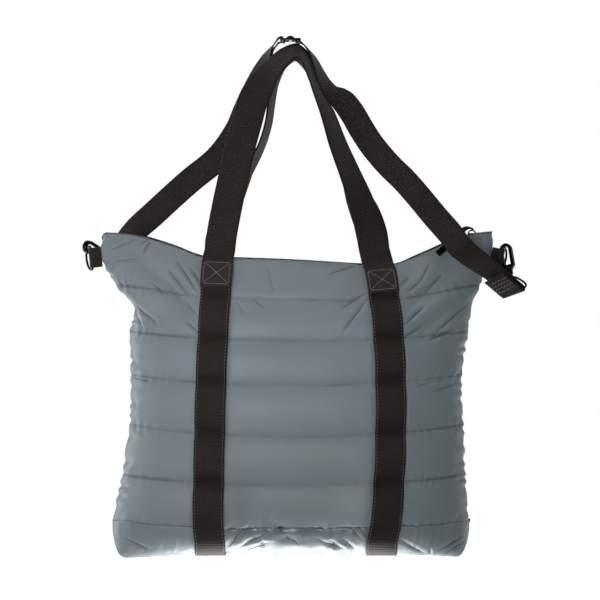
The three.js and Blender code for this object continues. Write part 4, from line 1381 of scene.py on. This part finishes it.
class TOTE_OT_stage(Operator):
    """Make the floor, the lights and the camera"""

    bl_idname = "tote.stage"
    bl_label = "Stage"
    bl_options = {"REGISTER", "UNDO"}

    # The picture is square. The hang point is a pixel of it, and one pixel is this long on the bag.
    PIXEL = 1.25 * MM
    PICTURE = 600
    HANG_PIXEL = (296, 60)
    DISTANCE = 5.0
    FLOOR_RADIUS = 9
    FLOOR_BELOW = 0.4

    def execute(self, context):
        scene = context.scene
        scene.view_settings.view_transform = "Standard"
        self.floor()
        self.world(scene)
        self.lights(scene)
        self.camera(scene)
        return {"FINISHED"}

    def floor(self):
        bm = bmesh.new()
        bmesh.ops.create_circle(bm, cap_ends=True, segments=96, radius=self.FLOOR_RADIUS)
        bmesh.ops.translate(bm, verts=bm.verts, vec=(0, 0, CAD_LOW.z - self.FLOOR_BELOW))
        make_piece(bm, "floor", studio_white("white_floor", "#f4f4f4", 1.0), smooth=False)

    @staticmethod
    def world(scene):
        """A dim white room that is bright straight behind the bag."""
        world = bpy.data.worlds.new("soft_room")
        world.use_nodes = True
        tree = world.node_tree
        place = add_node(tree, "TexCoord", {}, "Generated")
        behind = add_node(tree, "SeparateXYZ", {"Vector": place}, "Y")
        fade = add_node(
            tree,
            "MapRange",
            {"Value": behind, "From Min": 0.8, "From Max": 0.97, "To Min": 0.26, "To Max": 1.0},
        )
        fill_sockets(tree, tree.nodes["Background"], {"Strength": fade, "Color": (1, 1, 1, 1)})
        scene.world = world

    def lights(self, scene):
        """Soft boxes: where each stands, what it faces, its size, power and spread in degrees."""
        low = CAD_LOW.z
        for name, place, target, width, height, watts, spread in (
            ("key", (-0.35, -1.6, -0.25), (-0.03, 0, -0.32), 0.6, 0.6, 0.68, 32),
            ("fill_left", (-1.5, -0.7, -0.3), (0, 0, -0.3), 0.5, 0.8, 6, 180),
            ("top", (-0.2, -0.5, 1.2), (0, 0, -0.3), 1.2, 0.8, 7, 180),
            ("rim_left", (-1.3, 0.5, -0.3), (0, 0, -0.3), 0.15, 1.2, 8, 180),
            ("rim_right", (1.4, 0.6, -0.2), (0, 0, -0.3), 0.15, 1.2, 1.5, 180),
            ("below", (-0.01, 0, low - 0.1), (-0.01, 0, low), 0.3, 0.15, 1.25, 180),
        ):
            light = bpy.data.lights.new(name, "AREA")
            light.shape = "RECTANGLE"
            light.size, light.size_y = width, height
            light.energy = watts
            light.spread = math.radians(spread)
            lamp = bpy.data.objects.new(name, light)
            lamp.location = place
            lamp.rotation_mode = "QUATERNION"
            lamp.rotation_quaternion = (Vector(target) - Vector(place)).to_track_quat("-Z", "Y")
            lamp.visible_camera = False
            scene.collection.objects.link(lamp)

    def camera(self, scene):
        """A camera level with the middle of the picture, straight in front of the bag."""
        across, down = (self.PICTURE / 2 - pixel for pixel in self.HANG_PIXEL)
        data = bpy.data.cameras.new("camera")
        data.sensor_width = 36
        data.lens = data.sensor_width * self.DISTANCE / (self.PICTURE * self.PIXEL)
        eye = bpy.data.objects.new("camera", data)
        eye.location = (across * self.PIXEL, -self.DISTANCE, -down * self.PIXEL)
        eye.rotation_euler = (math.radians(90), 0, 0)
        scene.collection.objects.link(eye)
        scene.camera = eye


class TOTE_PT_panel(Panel):
    """Sizes, colours and steps of the tote bag"""

    bl_label = "Tote Bag"
    bl_idname = "TOTE_PT_panel"
    bl_space_type = "VIEW_3D"
    bl_region_type = "UI"
    bl_category = "Tote Bag"

    def draw(self, context):
        for group in (context.scene.tote_sizes, context.scene.tote_colours):
            box = self.layout.box()
            for name in group.__annotations__:
                box.prop(group, name)
        for step in STEPS:
            self.layout.operator(step.bl_idname)


STEPS = (
    TOTE_OT_stage,
    TOTE_OT_padded_cloth,
    TOTE_OT_handles,
    TOTE_OT_patches,
    TOTE_OT_shoulder_strap,
    TOTE_OT_zip,
    TOTE_OT_hardware,
)
CLASSES = (ToteSizes, ToteColours, *STEPS, TOTE_PT_panel)


def register():
    for kind in CLASSES:
        bpy.utils.register_class(kind)
    bpy.types.Scene.tote_sizes = PointerProperty(type=ToteSizes)
    bpy.types.Scene.tote_colours = PointerProperty(type=ToteColours)


def unregister():
    del bpy.types.Scene.tote_sizes
    del bpy.types.Scene.tote_colours
    for kind in reversed(CLASSES):
        bpy.utils.unregister_class(kind)


def main():
    register()
    for step in STEPS:
        area, name = step.bl_idname.split(".")
        getattr(getattr(bpy.ops, area), name)()


if __name__ == "__main__":
    main()
